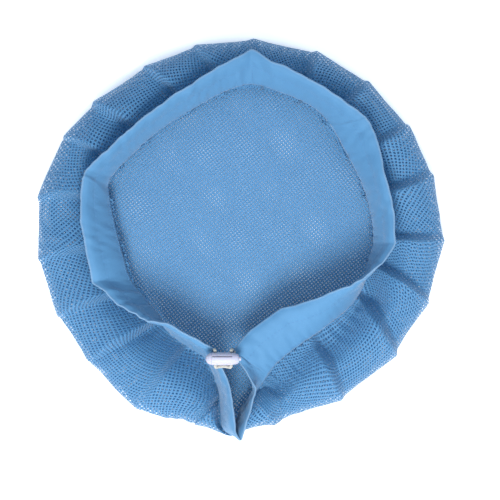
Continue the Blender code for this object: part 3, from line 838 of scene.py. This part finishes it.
def make_band(material):
    """The folded strip: up the outer leg, round the cord's channel and down the inner leg."""
    mouth = mouth_at(even_places(BAND_PLACES))
    shaped = band_shape(mouth, uneven_lines())
    bend = mouth["width"] - EDGE_SPREAD
    shares = np.linspace(0, 1, LEG_STEPS)

    def leg(side, shares):
        return [shaped(bend * share, side * band_spread(mouth, bend * share)) for share in shares]

    fold = [
        shaped(bend + EDGE_SPREAD * math.sin(turn), np.full(BAND_PLACES, EDGE_SPREAD * math.cos(turn)))
        for turn in np.linspace(math.pi, 0, FOLD_STEPS + 2)[1:-1]
    ]
    points = np.stack((*leg(-1, shares), *fold, *leg(1, shares[::-1])), axis=1)
    around = np.linalg.norm(np.diff(points, axis=1), axis=2).mean(axis=0)
    v = np.concatenate(([0.0], np.cumsum(around))) - around.sum() / 2
    length = reach_along((mouth["seam"] + mouth["fold"]) / 2)[-1]
    u = np.arange(BAND_PLACES) * (length / BAND_PLACES)
    faces = grid_faces(*points.shape[:2], closed_rows=True)
    band = add_mesh("woven_band", points.reshape(-1, 3), faces, grid_uv(u, v) / MM)
    shell = band.modifiers.new("thickness", "SOLIDIFY")
    shell.thickness = BAND_THICKNESS
    shell.offset = 0.0
    return place_piece(band, "bag", "band_cloth", material, "mouth_band")


# ---------------------------------------------------------------- threads and cord


def tube_frames(points, closed=False):
    """Two directions across a line at each of its points, carried along without twist."""
    if closed:
        way = unit(np.roll(points, -1, axis=0) - np.roll(points, 1, axis=0))
    else:
        way = unit(np.gradient(points, axis=0))
    start = np.cross(way[0], (0.31, 0.85, 0.42))
    side = np.empty_like(points)
    side[0] = unit(start)
    for k in range(1, len(points)):
        side[k] = unit(side[k - 1] - way[k] * np.dot(side[k - 1], way[k]))
    return side, np.cross(way, side)


def even_turns(sides):
    return np.arange(sides) * (2 * math.pi / sides)


def rings_round(points, side, other, sizes):
    """A ring of vertices round each point of a line, in two directions across it. sizes holds the
    radius for each point and each turn."""
    turn = even_turns(sizes.shape[1])
    rings = (
        points[:, None]
        + side[:, None] * (sizes * np.cos(turn))[:, :, None]
        + other[:, None] * (sizes * np.sin(turn))[:, :, None]
    )
    return rings.reshape(-1, 3)


def tube_faces(rings, sides, closed=False):
    """The faces of a tube, with a face over each end unless it closes on itself."""
    faces = grid_faces(rings, sides, closed_rows=closed, closed_columns=True)
    if not closed:
        last = (rings - 1) * sides
        faces += [list(range(sides)), list(range(last, last + sides))[::-1]]
    return faces


def add_tube(name, points, radius, sides, relief=None, closed=False):
    """A round cord along a line. relief gives the share by which the surface stands proud, from the
    distance along the cord and the turn round it."""
    turn, reach = even_turns(sides), reach_along(points)
    sizes = np.full((len(points), sides), radius)
    if relief is not None:
        sizes = sizes * (1 + relief(reach[:, None], turn[None, :]))
    vertices = rings_round(points, *tube_frames(points, closed), sizes)
    return add_mesh(name, vertices, tube_faces(len(points), sides, closed), grid_uv(reach / MM, turn))


def braid(reach, turn):
    """The relief of a braid: two sets of strands that cross over and under each other."""
    left = turn * (STRANDS / (2 * math.pi)) + reach / STRAND_LENGTH
    right = turn * (STRANDS / (2 * math.pi)) - reach / STRAND_LENGTH
    left_is_over = (np.floor(left) + np.floor(right)) % 2 < 1
    strand = np.abs(np.sin(math.pi * np.where(left_is_over, left, right)))
    return BRAID_RELIEF * (np.sqrt(strand) - BRAID_MIDDLE)


def add_stitches(name, line, lift, closed=True):
    """Separate stitches along a line that lies on cloth; lift points away from the cloth."""
    if closed:
        line, lift = (np.concatenate((rows, rows[:1])) for rows in (line, lift))
    reach = reach_along(line)
    count = round(reach[-1] / (STITCH_LENGTH + STITCH_GAP))
    pace = reach[-1] / count
    rings = len(STITCH_SHAPE)
    shares = np.linspace(0, 1, rings)
    wanted = (np.arange(count)[:, None] * pace + shares * (pace - STITCH_GAP)).ravel()
    centre = points_at(wanted, reach, line)
    away = unit(points_at(wanted, reach, lift))
    way = unit(np.gradient(centre.reshape(count, rings, 3), axis=1).reshape(-1, 3))
    arch = np.tile(np.sin(math.pi * shares), count)
    centre = centre + away * (THREAD_RADIUS * (arch - STITCH_SUNK))[:, None]
    sizes = THREAD_RADIUS * np.tile(STITCH_SHAPE, count)[:, None] * np.ones(STITCH_SIDES)
    vertices = rings_round(centre, away, unit(np.cross(way, away)), sizes)
    one = tube_faces(rings, STITCH_SIDES)
    starts = range(0, len(vertices), rings * STITCH_SIDES)
    faces = [[start + corner for corner in face] for start in starts for face in one]
    return add_mesh(name, vertices, faces, grid_uv(wanted / MM, even_turns(STITCH_SIDES)))


def join(name, things):
    """Several meshes as one."""
    with bpy.context.temp_override(active_object=things[0], selected_editable_objects=things):
        bpy.ops.object.join()
    things[0].name = name
    return things[0]


def make_band_stitches(material):
    """Stitches show on both faces of the band: under the cord's casing, and along the seam on the net."""
    mouth = mouth_at(even_places(BAND_PLACES))
    shaped = band_shape(mouth, uneven_lines())
    lines = (
        ("casing_stitches", mouth["width"] - CASING_DEPTH, "casing_stitching"),
        ("seam_stitches", np.full(BAND_PLACES, SEAM_STITCH_HEIGHT), "seam_stitching"),
    )
    for name, height, node in lines:
        spread = band_spread(mouth, height) + BAND_THICKNESS / 2
        faces = [
            add_stitches(f"{name}_{side}", shaped(height, side * spread), side * mouth["across"])
            for side in (-1, 1)
        ]
        place_piece(join(name, faces), "bag", "thread", material, node)


def make_join_stitches(material):
    """The line that sews the band's two ends together, up the inner face."""
    mouth = mouth_at(np.full(JOIN_POINTS, float(BAND_JOIN_STATION)))
    shaped = band_shape(mouth, np.zeros((len(PUCKER_WAVES), JOIN_POINTS)))
    top = mouth["width"][0] - CASING_DEPTH - MM
    height = np.linspace(SEAM_STITCH_HEIGHT + MM, top, JOIN_POINTS)
    line = shaped(height, band_spread(mouth, height) + BAND_THICKNESS / 2)
    stitches = add_stitches("join_stitches", line, mouth["across"], closed=False)
    place_piece(stitches, "bag", "thread", material, "band_join_stitching")


def make_binding(side, route, material):
    """The thread wound closely round a buttonhole, over the edge of the casing's wall."""
    run = smooth_route(route, BINDING_ROUTE_SPACING)
    low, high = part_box(f"buttonhole_binding_{side}")
    middle = (np.array(low) + np.array(high)) / 2
    place = int(np.argmin(np.linalg.norm(run - middle, axis=1)))
    after = min(place + BINDING_ROUTE_REACH, len(run) - 1)
    way = unit(run[after] - run[max(place - BINDING_ROUTE_REACH, 0)])
    first = unit(np.cross(way, (1.0, 0.0, 0.0)))
    second = np.cross(way, first)
    turn = even_turns(BINDING_POINTS)[:, None]
    ring = first * np.cos(turn) + second * np.sin(turn)
    wind_out = BINDING_WIND_RADIUS * np.cos(BINDING_WINDS * turn)
    wind_along = BINDING_WIND_RADIUS * np.sin(BINDING_WINDS * turn)
    coil = middle + ring * (BINDING_RADIUS + wind_out) + way * wind_along
    binding = add_tube(f"binding_{side}", coil, BINDING_THREAD_RADIUS, BINDING_THREAD_SIDES, closed=True)
    place_piece(binding, "bag", "thread", material, f"buttonhole_binding_{side}")


def make_cords(material):
    """The cord inside the casing, the two runs from the buttonholes to the lock, and the loop."""
    places = even_places(BAND_PLACES)
    places = places[places <= RIGHT_BUTTONHOLE_STATION]
    mouth = mouth_at(places)
    shaped = band_shape(mouth, [line[:len(places)] for line in uneven_lines()])
    inside = shaped(mouth["width"] - CORD_DEPTH, np.zeros(len(places)))[2:-2]
    cord = add_tube("cord_in_casing", inside, CORD_RADIUS * HIDDEN_CORD_SHARE, HIDDEN_CORD_SIDES)
    place_piece(cord, "bag", "cord", material, "drawcord")

    for side, route in (("left", CORD_RUN_LEFT), ("right", CORD_RUN_RIGHT)):
        points = smooth_route(route, CORD_SPACING)
        run = add_tube(f"cord_{side}", points, CORD_RADIUS, CORD_SIDES, braid)
        place_piece(run, None, "cord", material, f"cord_run_{side}")
        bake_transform(run)
    points = smooth_route(CORD_LOOP, CORD_SPACING)
    loop = add_tube("cord_front_loop", points, CORD_RADIUS, CORD_SIDES, braid)
    place_piece(loop, "lock", "cord", material, "cord_loop")


# ---------------------------------------------------------------- cord lock


def smooth_profile():
    """The barrel's outline as points close together: x in metres, radius in metres."""
    rows = (LOCK_PROFILE[0], *LOCK_PROFILE[:-1], LOCK_PROFILE[-2])
    curve = smooth_curve(rows, LOCK_PROFILE_STEPS)
    return curve[:, 0] + LOCK_LEFT_END, np.maximum(curve[:, 1], 0.0)


def barrel_part(left, right):
    """The barrel's outline between two places along it, closed on the centre line at both ends."""
    x, radius = smooth_profile()
    inside = (x > left + LOCK_PROFILE_MARGIN) & (x < right - LOCK_PROFILE_MARGIN) & (radius > 0)
    outline = [(left, 0.0), (left, float(np.interp(left, x, radius)))]
    outline += list(zip(x[inside].tolist(), radius[inside].tolist()))
    outline += [(right, float(np.interp(right, x, radius))), (right, 0.0)]
    return [point for k, point in enumerate(outline) if k == 0 or point != outline[k - 1]]


def add_turned(name, outline, tallness=1.0, sides=LOCK_SIDES):
    """A closed solid turned about the lock's centre line."""
    shape = bmesh.new()
    rings = []
    for x, radius in outline:
        if radius <= 0:
            rings.append([shape.verts.new((x, LOCK_Y, LOCK_Z))])
            continue
        ring = []
        for k in range(sides):
            turn = 2 * math.pi * k / sides
            y = LOCK_Y + radius * math.cos(turn)
            ring.append(shape.verts.new((x, y, LOCK_Z + radius * tallness * math.sin(turn))))
        rings.append(ring)
    for left, right in zip(rings, rings[1:]):
        for k in range(sides):
            after = (k + 1) % sides
            corners = [left[k % len(left)], left[after % len(left)]]
            corners += [right[after % len(right)], right[k % len(right)]]
            corners = list(dict.fromkeys(corners))
            if len(corners) > 2:
                shape.faces.new(corners)
    bmesh.ops.recalc_face_normals(shape, faces=shape.faces)
    mesh = bpy.data.meshes.new(name)
    shape.to_mesh(mesh)
    shape.free()
    thing = bpy.data.objects.new(name, mesh)
    bpy.context.collection.objects.link(thing)
    return thing


def add_rod(name, left, right, radius):
    return add_turned(name, [(left, 0), (left, radius), (right, radius), (right, 0)])


def add_cross_rod(name, x, reach, radius, sides):
    """A round rod through the lock from front to back."""
    ends = np.array([(x, LOCK_Y - reach, LOCK_Z), (x, LOCK_Y + reach, LOCK_Z)])
    return add_tube(name, ends, radius, sides)


def add_groove_cutter():
    """A cutter with round ends along X, open at the top."""
    radius = GROOVE_WIDTH / 2
    outline = [
        (centre + radius * math.cos(turn), GROOVE_Y + radius * math.sin(turn))
        for centre, start in ((GROOVE_RIGHT_X - radius, -90), (GROOVE_LEFT_X + radius, 90))
        for turn in np.radians(start + 15 * np.arange(13))
    ]
    count = len(outline)
    vertices = [(x, y, LOCK_Z + z) for z in (GROOVE_FLOOR, CUTTER_REACH) for x, y in outline]
    faces = grid_faces(2, count, closed_columns=True)
    faces += [list(range(count))[::-1], list(range(count, 2 * count))]
    return add_mesh("groove", vertices, faces, smooth=False)


def cut(thing, cutters):
    """Cuts the cutters out of the thing and removes them."""
    for cutter in cutters:
        step = thing.modifiers.new("cut", "BOOLEAN")
        step.operation = "DIFFERENCE"
        step.object = cutter
    finished = bpy.data.meshes.new_from_object(
        thing.evaluated_get(bpy.context.evaluated_depsgraph_get())
    )
    thing.modifiers.clear()
    thing.data = finished
    for cutter in cutters:
        bpy.data.objects.remove(cutter, do_unlink=True)


def soften(thing, width=MOULDED_EDGE):
    """Rounds the moulded edges and shades the rest smooth."""
    edge = thing.modifiers.new("moulded edges", "BEVEL")
    edge.width = width
    edge.segments = 3
    edge.limit_method = "ANGLE"
    edge.angle_limit = CREASE_ANGLE
    edge.harden_normals = True
    thing.data.shade_smooth()


def make_barrel(plastic):
    """The lock's barrel and the cap at its left end, with their bores."""
    right_end = LOCK_LEFT_END + LOCK_PROFILE[-1][0] * MM
    outline = barrel_part(CAP_SPLIT_X + CAP_SPLIT_GAP / 2, right_end)
    barrel = add_turned("lock_barrel", outline, LOCK_TALLNESS)
    cut(barrel, [
        add_rod("cavity", CAVITY_LEFT_X, CAVITY_RIGHT_X, CAVITY_RADIUS),
        add_rod("nub_hole", CAVITY_RIGHT_X - MM, NUB_END_X, NUB_HOLE_RADIUS),
        *[
            add_cross_rod(f"cord_hole_{number}", x, CUTTER_REACH, CORD_HOLE_RADIUS, CORD_HOLE_SIDES)
            for number, x in enumerate(CORD_HOLE_X)
        ],
        add_groove_cutter(),
    ])
    soften(barrel)
    place_piece(barrel, "lock", "lock_plastic", plastic, "lock_body")

    outline = barrel_part(LOCK_LEFT_END, CAP_SPLIT_X - CAP_SPLIT_GAP / 2)
    cap = add_turned("lock_cap", outline, LOCK_TALLNESS)
    cut(cap, [
        add_rod("cap_cavity", CAVITY_LEFT_X, CAP_SPLIT_X + MM, CAVITY_RADIUS),
        add_rod("spring_pocket", SPRING_POCKET_X, CAP_SPLIT_X, SPRING_POCKET_RADIUS),
    ])
    soften(cap)
    place_piece(cap, "lock", "lock_plastic", plastic, "lock_end_cap")


def make_plunger(plastic):
    """The button and its stem, with a slot for each cord that stays clear when it is pressed."""
    outline = [
        (PLUNGER_LEFT_X, 0), (PLUNGER_LEFT_X, PLUNGER_RADIUS),
        (PLUNGER_SHOULDER_X, PLUNGER_RADIUS), (PLUNGER_SHOULDER_X, NUB_RADIUS),
        (NUB_END_X - NUB_DOME, NUB_RADIUS), (NUB_END_X, NUB_RADIUS - NUB_DOME), (NUB_END_X, 0),
    ]
    plunger = add_turned("lock_button", outline, sides=PLUNGER_SIDES)
    half_run = CORD_RADIUS + SLOT_CLEARANCE + PLUNGER_STROKE / 2
    slots = []
    for number, x in enumerate(CORD_HOLE_X):
        middle = x + PLUNGER_STROKE / 2
        slot = add_cross_rod(f"slot_{number}", middle, SLOT_REACH, 1.0, SLOT_SIDES)
        for vertex in slot.data.vertices:
            turn = Vector((vertex.co.x - middle, 0, vertex.co.z - LOCK_Z)).normalized()
            vertex.co.x = middle + turn.x * half_run
            vertex.co.z = LOCK_Z + turn.z * SLOT_HALF_HEIGHT
        slots.append(slot)
    cut(plunger, slots)
    soften(plunger, PLUNGER_EDGE)
    place_piece(plunger, "plunger", "plunger_plastic", plastic, "lock_plunger")


def make_spring(steel):
    """The coil between the end cap and the plunger, at rest; the real coil shortens as the plunger goes
    in.
    """
    turn = np.linspace(0, 2 * math.pi * SPRING_TURNS, SPRING_STEPS * SPRING_TURNS + 1)
    x = SPRING_LEFT_X + (SPRING_RIGHT_X - SPRING_LEFT_X) * turn / turn[-1]
    y = LOCK_Y + SPRING_RADIUS * np.cos(turn)
    z = LOCK_Z + SPRING_RADIUS * np.sin(turn)
    coil = np.stack((x, y, z), axis=1)
    spring = add_tube("coil_spring", coil, SPRING_WIRE_RADIUS, SPRING_SIDES)
    place_piece(spring, None, "spring_steel", steel, "lock_spring")
    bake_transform(spring)


# ---------------------------------------------------------------- materials


class Surface:
    """A material under construction: short calls for the nodes that this scene uses."""

    def __init__(self, name, roughness, **sockets):
        self.material = bpy.data.materials.new(name)
        self.material.use_nodes = True
        self.tree = self.material.node_tree
        self.shader = self.tree.nodes["Principled BSDF"]
        self.shader.inputs["Roughness"].default_value = roughness
        for socket, value in sockets.items():
            self.shader.inputs[socket.replace("_", " ")].default_value = value

    def node(self, kind, inputs=(), **settings):
        """A node with its settings, and with inputs given as values or as other nodes' outputs."""
        made = self.tree.nodes.new(kind)
        for setting, value in settings.items():
            setattr(made, setting, value)
        for place, value in dict(inputs).items():
            if isinstance(value, bpy.types.NodeSocket):
                self.tree.links.new(value, made.inputs[place])
            else:
                made.inputs[place].default_value = value
        return made

    def math(self, operation, *values):
        return self.node("ShaderNodeMath", enumerate(values), operation=operation).outputs[0]

    def sine(self, value, factor):
        """Waves: the sine of a multiple of the value."""
        return self.math("SINE", self.math("MULTIPLY", value, factor))

    def uv(self):
        parts = self.node("ShaderNodeSeparateXYZ", {0: self.node("ShaderNodeUVMap").outputs["UV"]})
        return parts.outputs["X"], parts.outputs["Y"]

    def noise(self, size, detail=2.0):
        """Soft noise with lumps of about that size, in the object's own space."""
        place = self.node("ShaderNodeTexCoord").outputs["Object"]
        made = self.node("ShaderNodeTexNoise", {"Vector": place, "Scale": 1 / size, "Detail": detail})
        return made.outputs["Fac"]

    def blend_colours(self, share, low, high, **settings):
        """A colour between two, which are given as values or as other nodes' outputs."""
        low, high = ((*end, 1) if isinstance(end, tuple) else end for end in (low, high))
        mix = self.node("ShaderNodeMix", {0: share, 6: low, 7: high}, data_type="RGBA", **settings)
        return mix.outputs[2]

    def colour(self, value):
        self.tree.links.new(value, self.shader.inputs["Base Color"])

    def relief(self, height, distance, strength=1.0):
        bump = self.node("ShaderNodeBump", {"Height": height, "Distance": distance, "Strength": strength})
        self.tree.links.new(bump.outputs["Normal"], self.shader.inputs["Normal"])

    def light_through(self, share, colour):
        """Thin cloth: a share of the light comes through from behind."""
        behind = self.node("ShaderNodeBsdfTranslucent", {"Color": colour}).outputs[0]
        mix = self.node("ShaderNodeMixShader", {0: share, 1: self.shader.outputs[0], 2: behind})
        self.tree.links.new(mix.outputs[0], self.tree.nodes["Material Output"].inputs["Surface"])


def net_material():
    """Knitted polyester net: round threads between the holes, and a knot where they meet, with painted
    shade towards the threads' edges.
    """
    surface = Surface("net", 0.55, Sheen_Weight=0.25, Sheen_Roughness=0.5)
    u, v = surface.uv()
    from_hole_u = surface.math("PINGPONG", u, 0.5)
    from_hole_v = surface.math("PINGPONG", v, 0.5)
    across = surface.math("MAXIMUM", from_hole_u, from_hole_v)
    along = surface.math("MINIMUM", from_hole_u, from_hole_v)
    edge, half_thread = THREAD_EDGE, 0.5 - THREAD_EDGE
    rise = surface.math("DIVIDE", surface.math("SUBTRACT", across, edge), half_thread)
    round_thread = surface.sine(rise, math.pi / 2)
    knot = surface.math("MULTIPLY", surface.math("SMOOTH_MAX", along, 0.3, 0.1), 0.5)
    fibres = surface.sine(surface.math("ADD", u, v), 2 * math.pi * FIBRES_PER_HOLE)
    height = surface.math("ADD", round_thread, knot)
    height = surface.math("ADD", height, surface.math("MULTIPLY", fibres, FIBRE_RELIEF))
    surface.relief(height, 0.25 * MM, 0.8)
    tint = surface.blend_colours(surface.noise(28 * MM), NET_BLUE_DEEP, NET_BLUE)
    # Painted shade: each thread darkens towards its edges, where its rounded relief falls away
    centre = surface.math("SMOOTH_MIN", round_thread, 1.0, 0.2)
    shade = surface.blend_colours(centre, NET_EDGE_SHADE, tint)
    surface.colour(shade)
    surface.light_through(NET_LIGHT_THROUGH, shade)
    return surface.material


def band_material():
    """Plain-woven polyester: fine warp and weft, a little unevenness in the yarns, a soft sheen, and a
    painted highlight along the fold."""
    surface = Surface("band_cloth", 0.62, Sheen_Weight=0.35, Sheen_Roughness=0.4)
    u, v = surface.uv()
    warp, weft = (surface.sine(way, 2 * math.pi / WEAVE_PITCH) for way in (u, v))
    weave = surface.math("MULTIPLY", warp, weft)
    slub = surface.math("MULTIPLY", surface.noise(0.9 * MM, 3.0), 1.4)
    surface.relief(surface.math("ADD", weave, slub), 0.05 * MM, 0.7)
    tint = surface.blend_colours(surface.noise(11 * MM, 3.0), BAND_BLUE_DEEP, BAND_BLUE)
    # Painted shade: the weave's hollows, where its relief is low, are a little darker
    yarn = surface.math("MULTIPLY_ADD", weave, YARN_SHADE, 1 - YARN_SHADE)
    weave_shade = surface.node("ShaderNodeCombineColor", {0: yarn, 1: yarn, 2: yarn}).outputs[0]
    shade = surface.blend_colours(1.0, tint, weave_shade, blend_type="MULTIPLY")
    # Painted highlight: the colour is lightened along the fold's edge
    from_fold = surface.math("DIVIDE", surface.math("ABSOLUTE", v), FOLD_HIGHLIGHT_WIDTH)
    near_fold = surface.math("MAXIMUM", surface.math("SUBTRACT", 1.0, from_fold), 0.0)
    share = surface.math("MULTIPLY", near_fold, FOLD_HIGHLIGHT_SHARE)
    pale = surface.blend_colours(share, shade, BAND_FOLD_HIGHLIGHT)
    surface.colour(pale)
    surface.light_through(BAND_LIGHT_THROUGH, pale)
    return surface.material


def thread_material():
    """Sewing thread: plies twisted along its length, with painted shade in the grooves between them."""
    surface = Surface("thread", 0.5, Sheen_Weight=0.2)
    u, v = surface.uv()
    along = surface.math("MULTIPLY", u, 2 * math.pi / PLY_LENGTH)
    ply = surface.math("SINE", surface.math("ADD", along, surface.math("MULTIPLY", v, 2)))
    surface.relief(ply, 0.04 * MM, 0.8)
    # Painted shade: darker where the plies' relief is low, in the grooves between them
    share = surface.math("MULTIPLY_ADD", ply, 0.5, 0.5)
    surface.colour(surface.blend_colours(share, THREAD_GROOVE_SHADE, THREAD_BLUE))
    return surface.material


def cord_material():
    """Braided polyester cord: fine filaments in two directions, and unevenly cream."""
    surface = Surface("cord", 0.75, Sheen_Weight=0.3)
    u, v = surface.uv()
    along = surface.math("MULTIPLY", u, 2 * math.pi / FILAMENT_LENGTH)
    around = surface.math("MULTIPLY", v, STRANDS * FILAMENTS_PER_STRAND)
    left, right = (
        surface.math("SINE", surface.math(way, around, along)) for way in ("ADD", "SUBTRACT")
    )
    surface.relief(surface.math("ADD", left, right), 0.05 * MM, 0.6)
    surface.colour(surface.blend_colours(surface.noise(1.2 * MM, 3.0), CORD_CREAM_DEEP, CORD_CREAM))
    return surface.material


def plastic_material(name, roughness):
    """Moulded white plastic: a satin surface with slight flow marks, and a little light inside it."""
    surface = Surface(name, roughness, IOR=1.46, Subsurface_Weight=0.15, Subsurface_Scale=0.8 * MM)
    grain = surface.noise(0.35 * MM, 4.0)
    flow = surface.noise(3.5 * MM, 2.0)
    surface.relief(surface.math("ADD", grain, flow), 0.03 * MM, 0.35)
    surface.colour(surface.blend_colours(flow, LOCK_WHITE_DEEP, LOCK_WHITE))
    return surface.material


def steel_material():
    """Drawn spring wire."""
    surface = Surface("spring_steel", 0.3, Metallic=1.0)
    _, v = surface.uv()
    surface.relief(surface.sine(v, DRAWN_LINES), 0.01 * MM, 0.5)
    surface.colour(surface.blend_colours(surface.noise(0.6 * MM), STEEL_DEEP, STEEL))
    return surface.material


# ---------------------------------------------------------------- stage


def make_stage():
    """A pale floor, a wide soft lamp above the front and an even, slightly blue sky."""
    size = FLOOR_SIZE
    corners = [(-size, -size, 0), (size, -size, 0), (size, size, 0), (-size, size, 0)]
    floor = add_mesh("floor", corners, [[0, 1, 2, 3]], smooth=False)
    floor.location.z = -FLOOR_DROP
    surface = Surface("floor", 0.9, Base_Color=(*FLOOR_WHITE, 1), Emission_Color=(1, 1, 1, 1))
    place = surface.node("ShaderNodeTexCoord").outputs["Object"]
    reach = surface.node("ShaderNodeVectorMath", {0: place}, operation="LENGTH").outputs["Value"]

    def glow(start, end, from_strength, to_strength):
        inputs = enumerate((reach, start, end, from_strength, to_strength))
        return surface.node("ShaderNodeMapRange", inputs).outputs[0]

    inner = glow(*INNER_GLOW_REACH, INNER_GLOW, 0.0)
    outer = glow(*OUTER_GLOW_REACH, 0.0, OUTER_GLOW)
    strength = surface.shader.inputs["Emission Strength"]
    surface.tree.links.new(surface.math("ADD", inner, outer), strength)
    floor.data.materials.append(surface.material)

    data = bpy.data.lights.new("soft box", "AREA")
    data.shape = "DISK"
    data.size = LAMP_SIZE
    data.energy = LAMP_POWER
    lamp = bpy.data.objects.new("soft box", data)
    lamp.location = LAMP_PLACE
    lamp.rotation_euler = (-Vector(LAMP_PLACE)).to_track_quat("-Z", "Y").to_euler()
    bpy.context.collection.objects.link(lamp)

    world = bpy.data.worlds.new("sky")
    world.use_nodes = True
    sky = world.node_tree.nodes["Background"]
    sky.inputs["Color"].default_value = (*SKY_COLOUR, 1)
    sky.inputs["Strength"].default_value = SKY_STRENGTH
    bpy.context.scene.world = world
    bpy.context.scene.view_settings.view_transform = "Standard"


def main():
    make_camera()
    cord = cord_material()
    make_cords(cord)
    net = net_material()
    thread = thread_material()
    bottom, side = make_net(net)
    band = make_band(band_material())
    make_band_stitches(thread)
    make_join_stitches(thread)
    make_binding("left", CORD_RUN_LEFT, thread)
    make_binding("right", CORD_RUN_RIGHT, thread)
    make_barrel(plastic_material("lock_plastic", 0.5))
    make_plunger(plastic_material("plunger_plastic", 0.4))
    make_spring(steel_material())
    make_stage()


main()
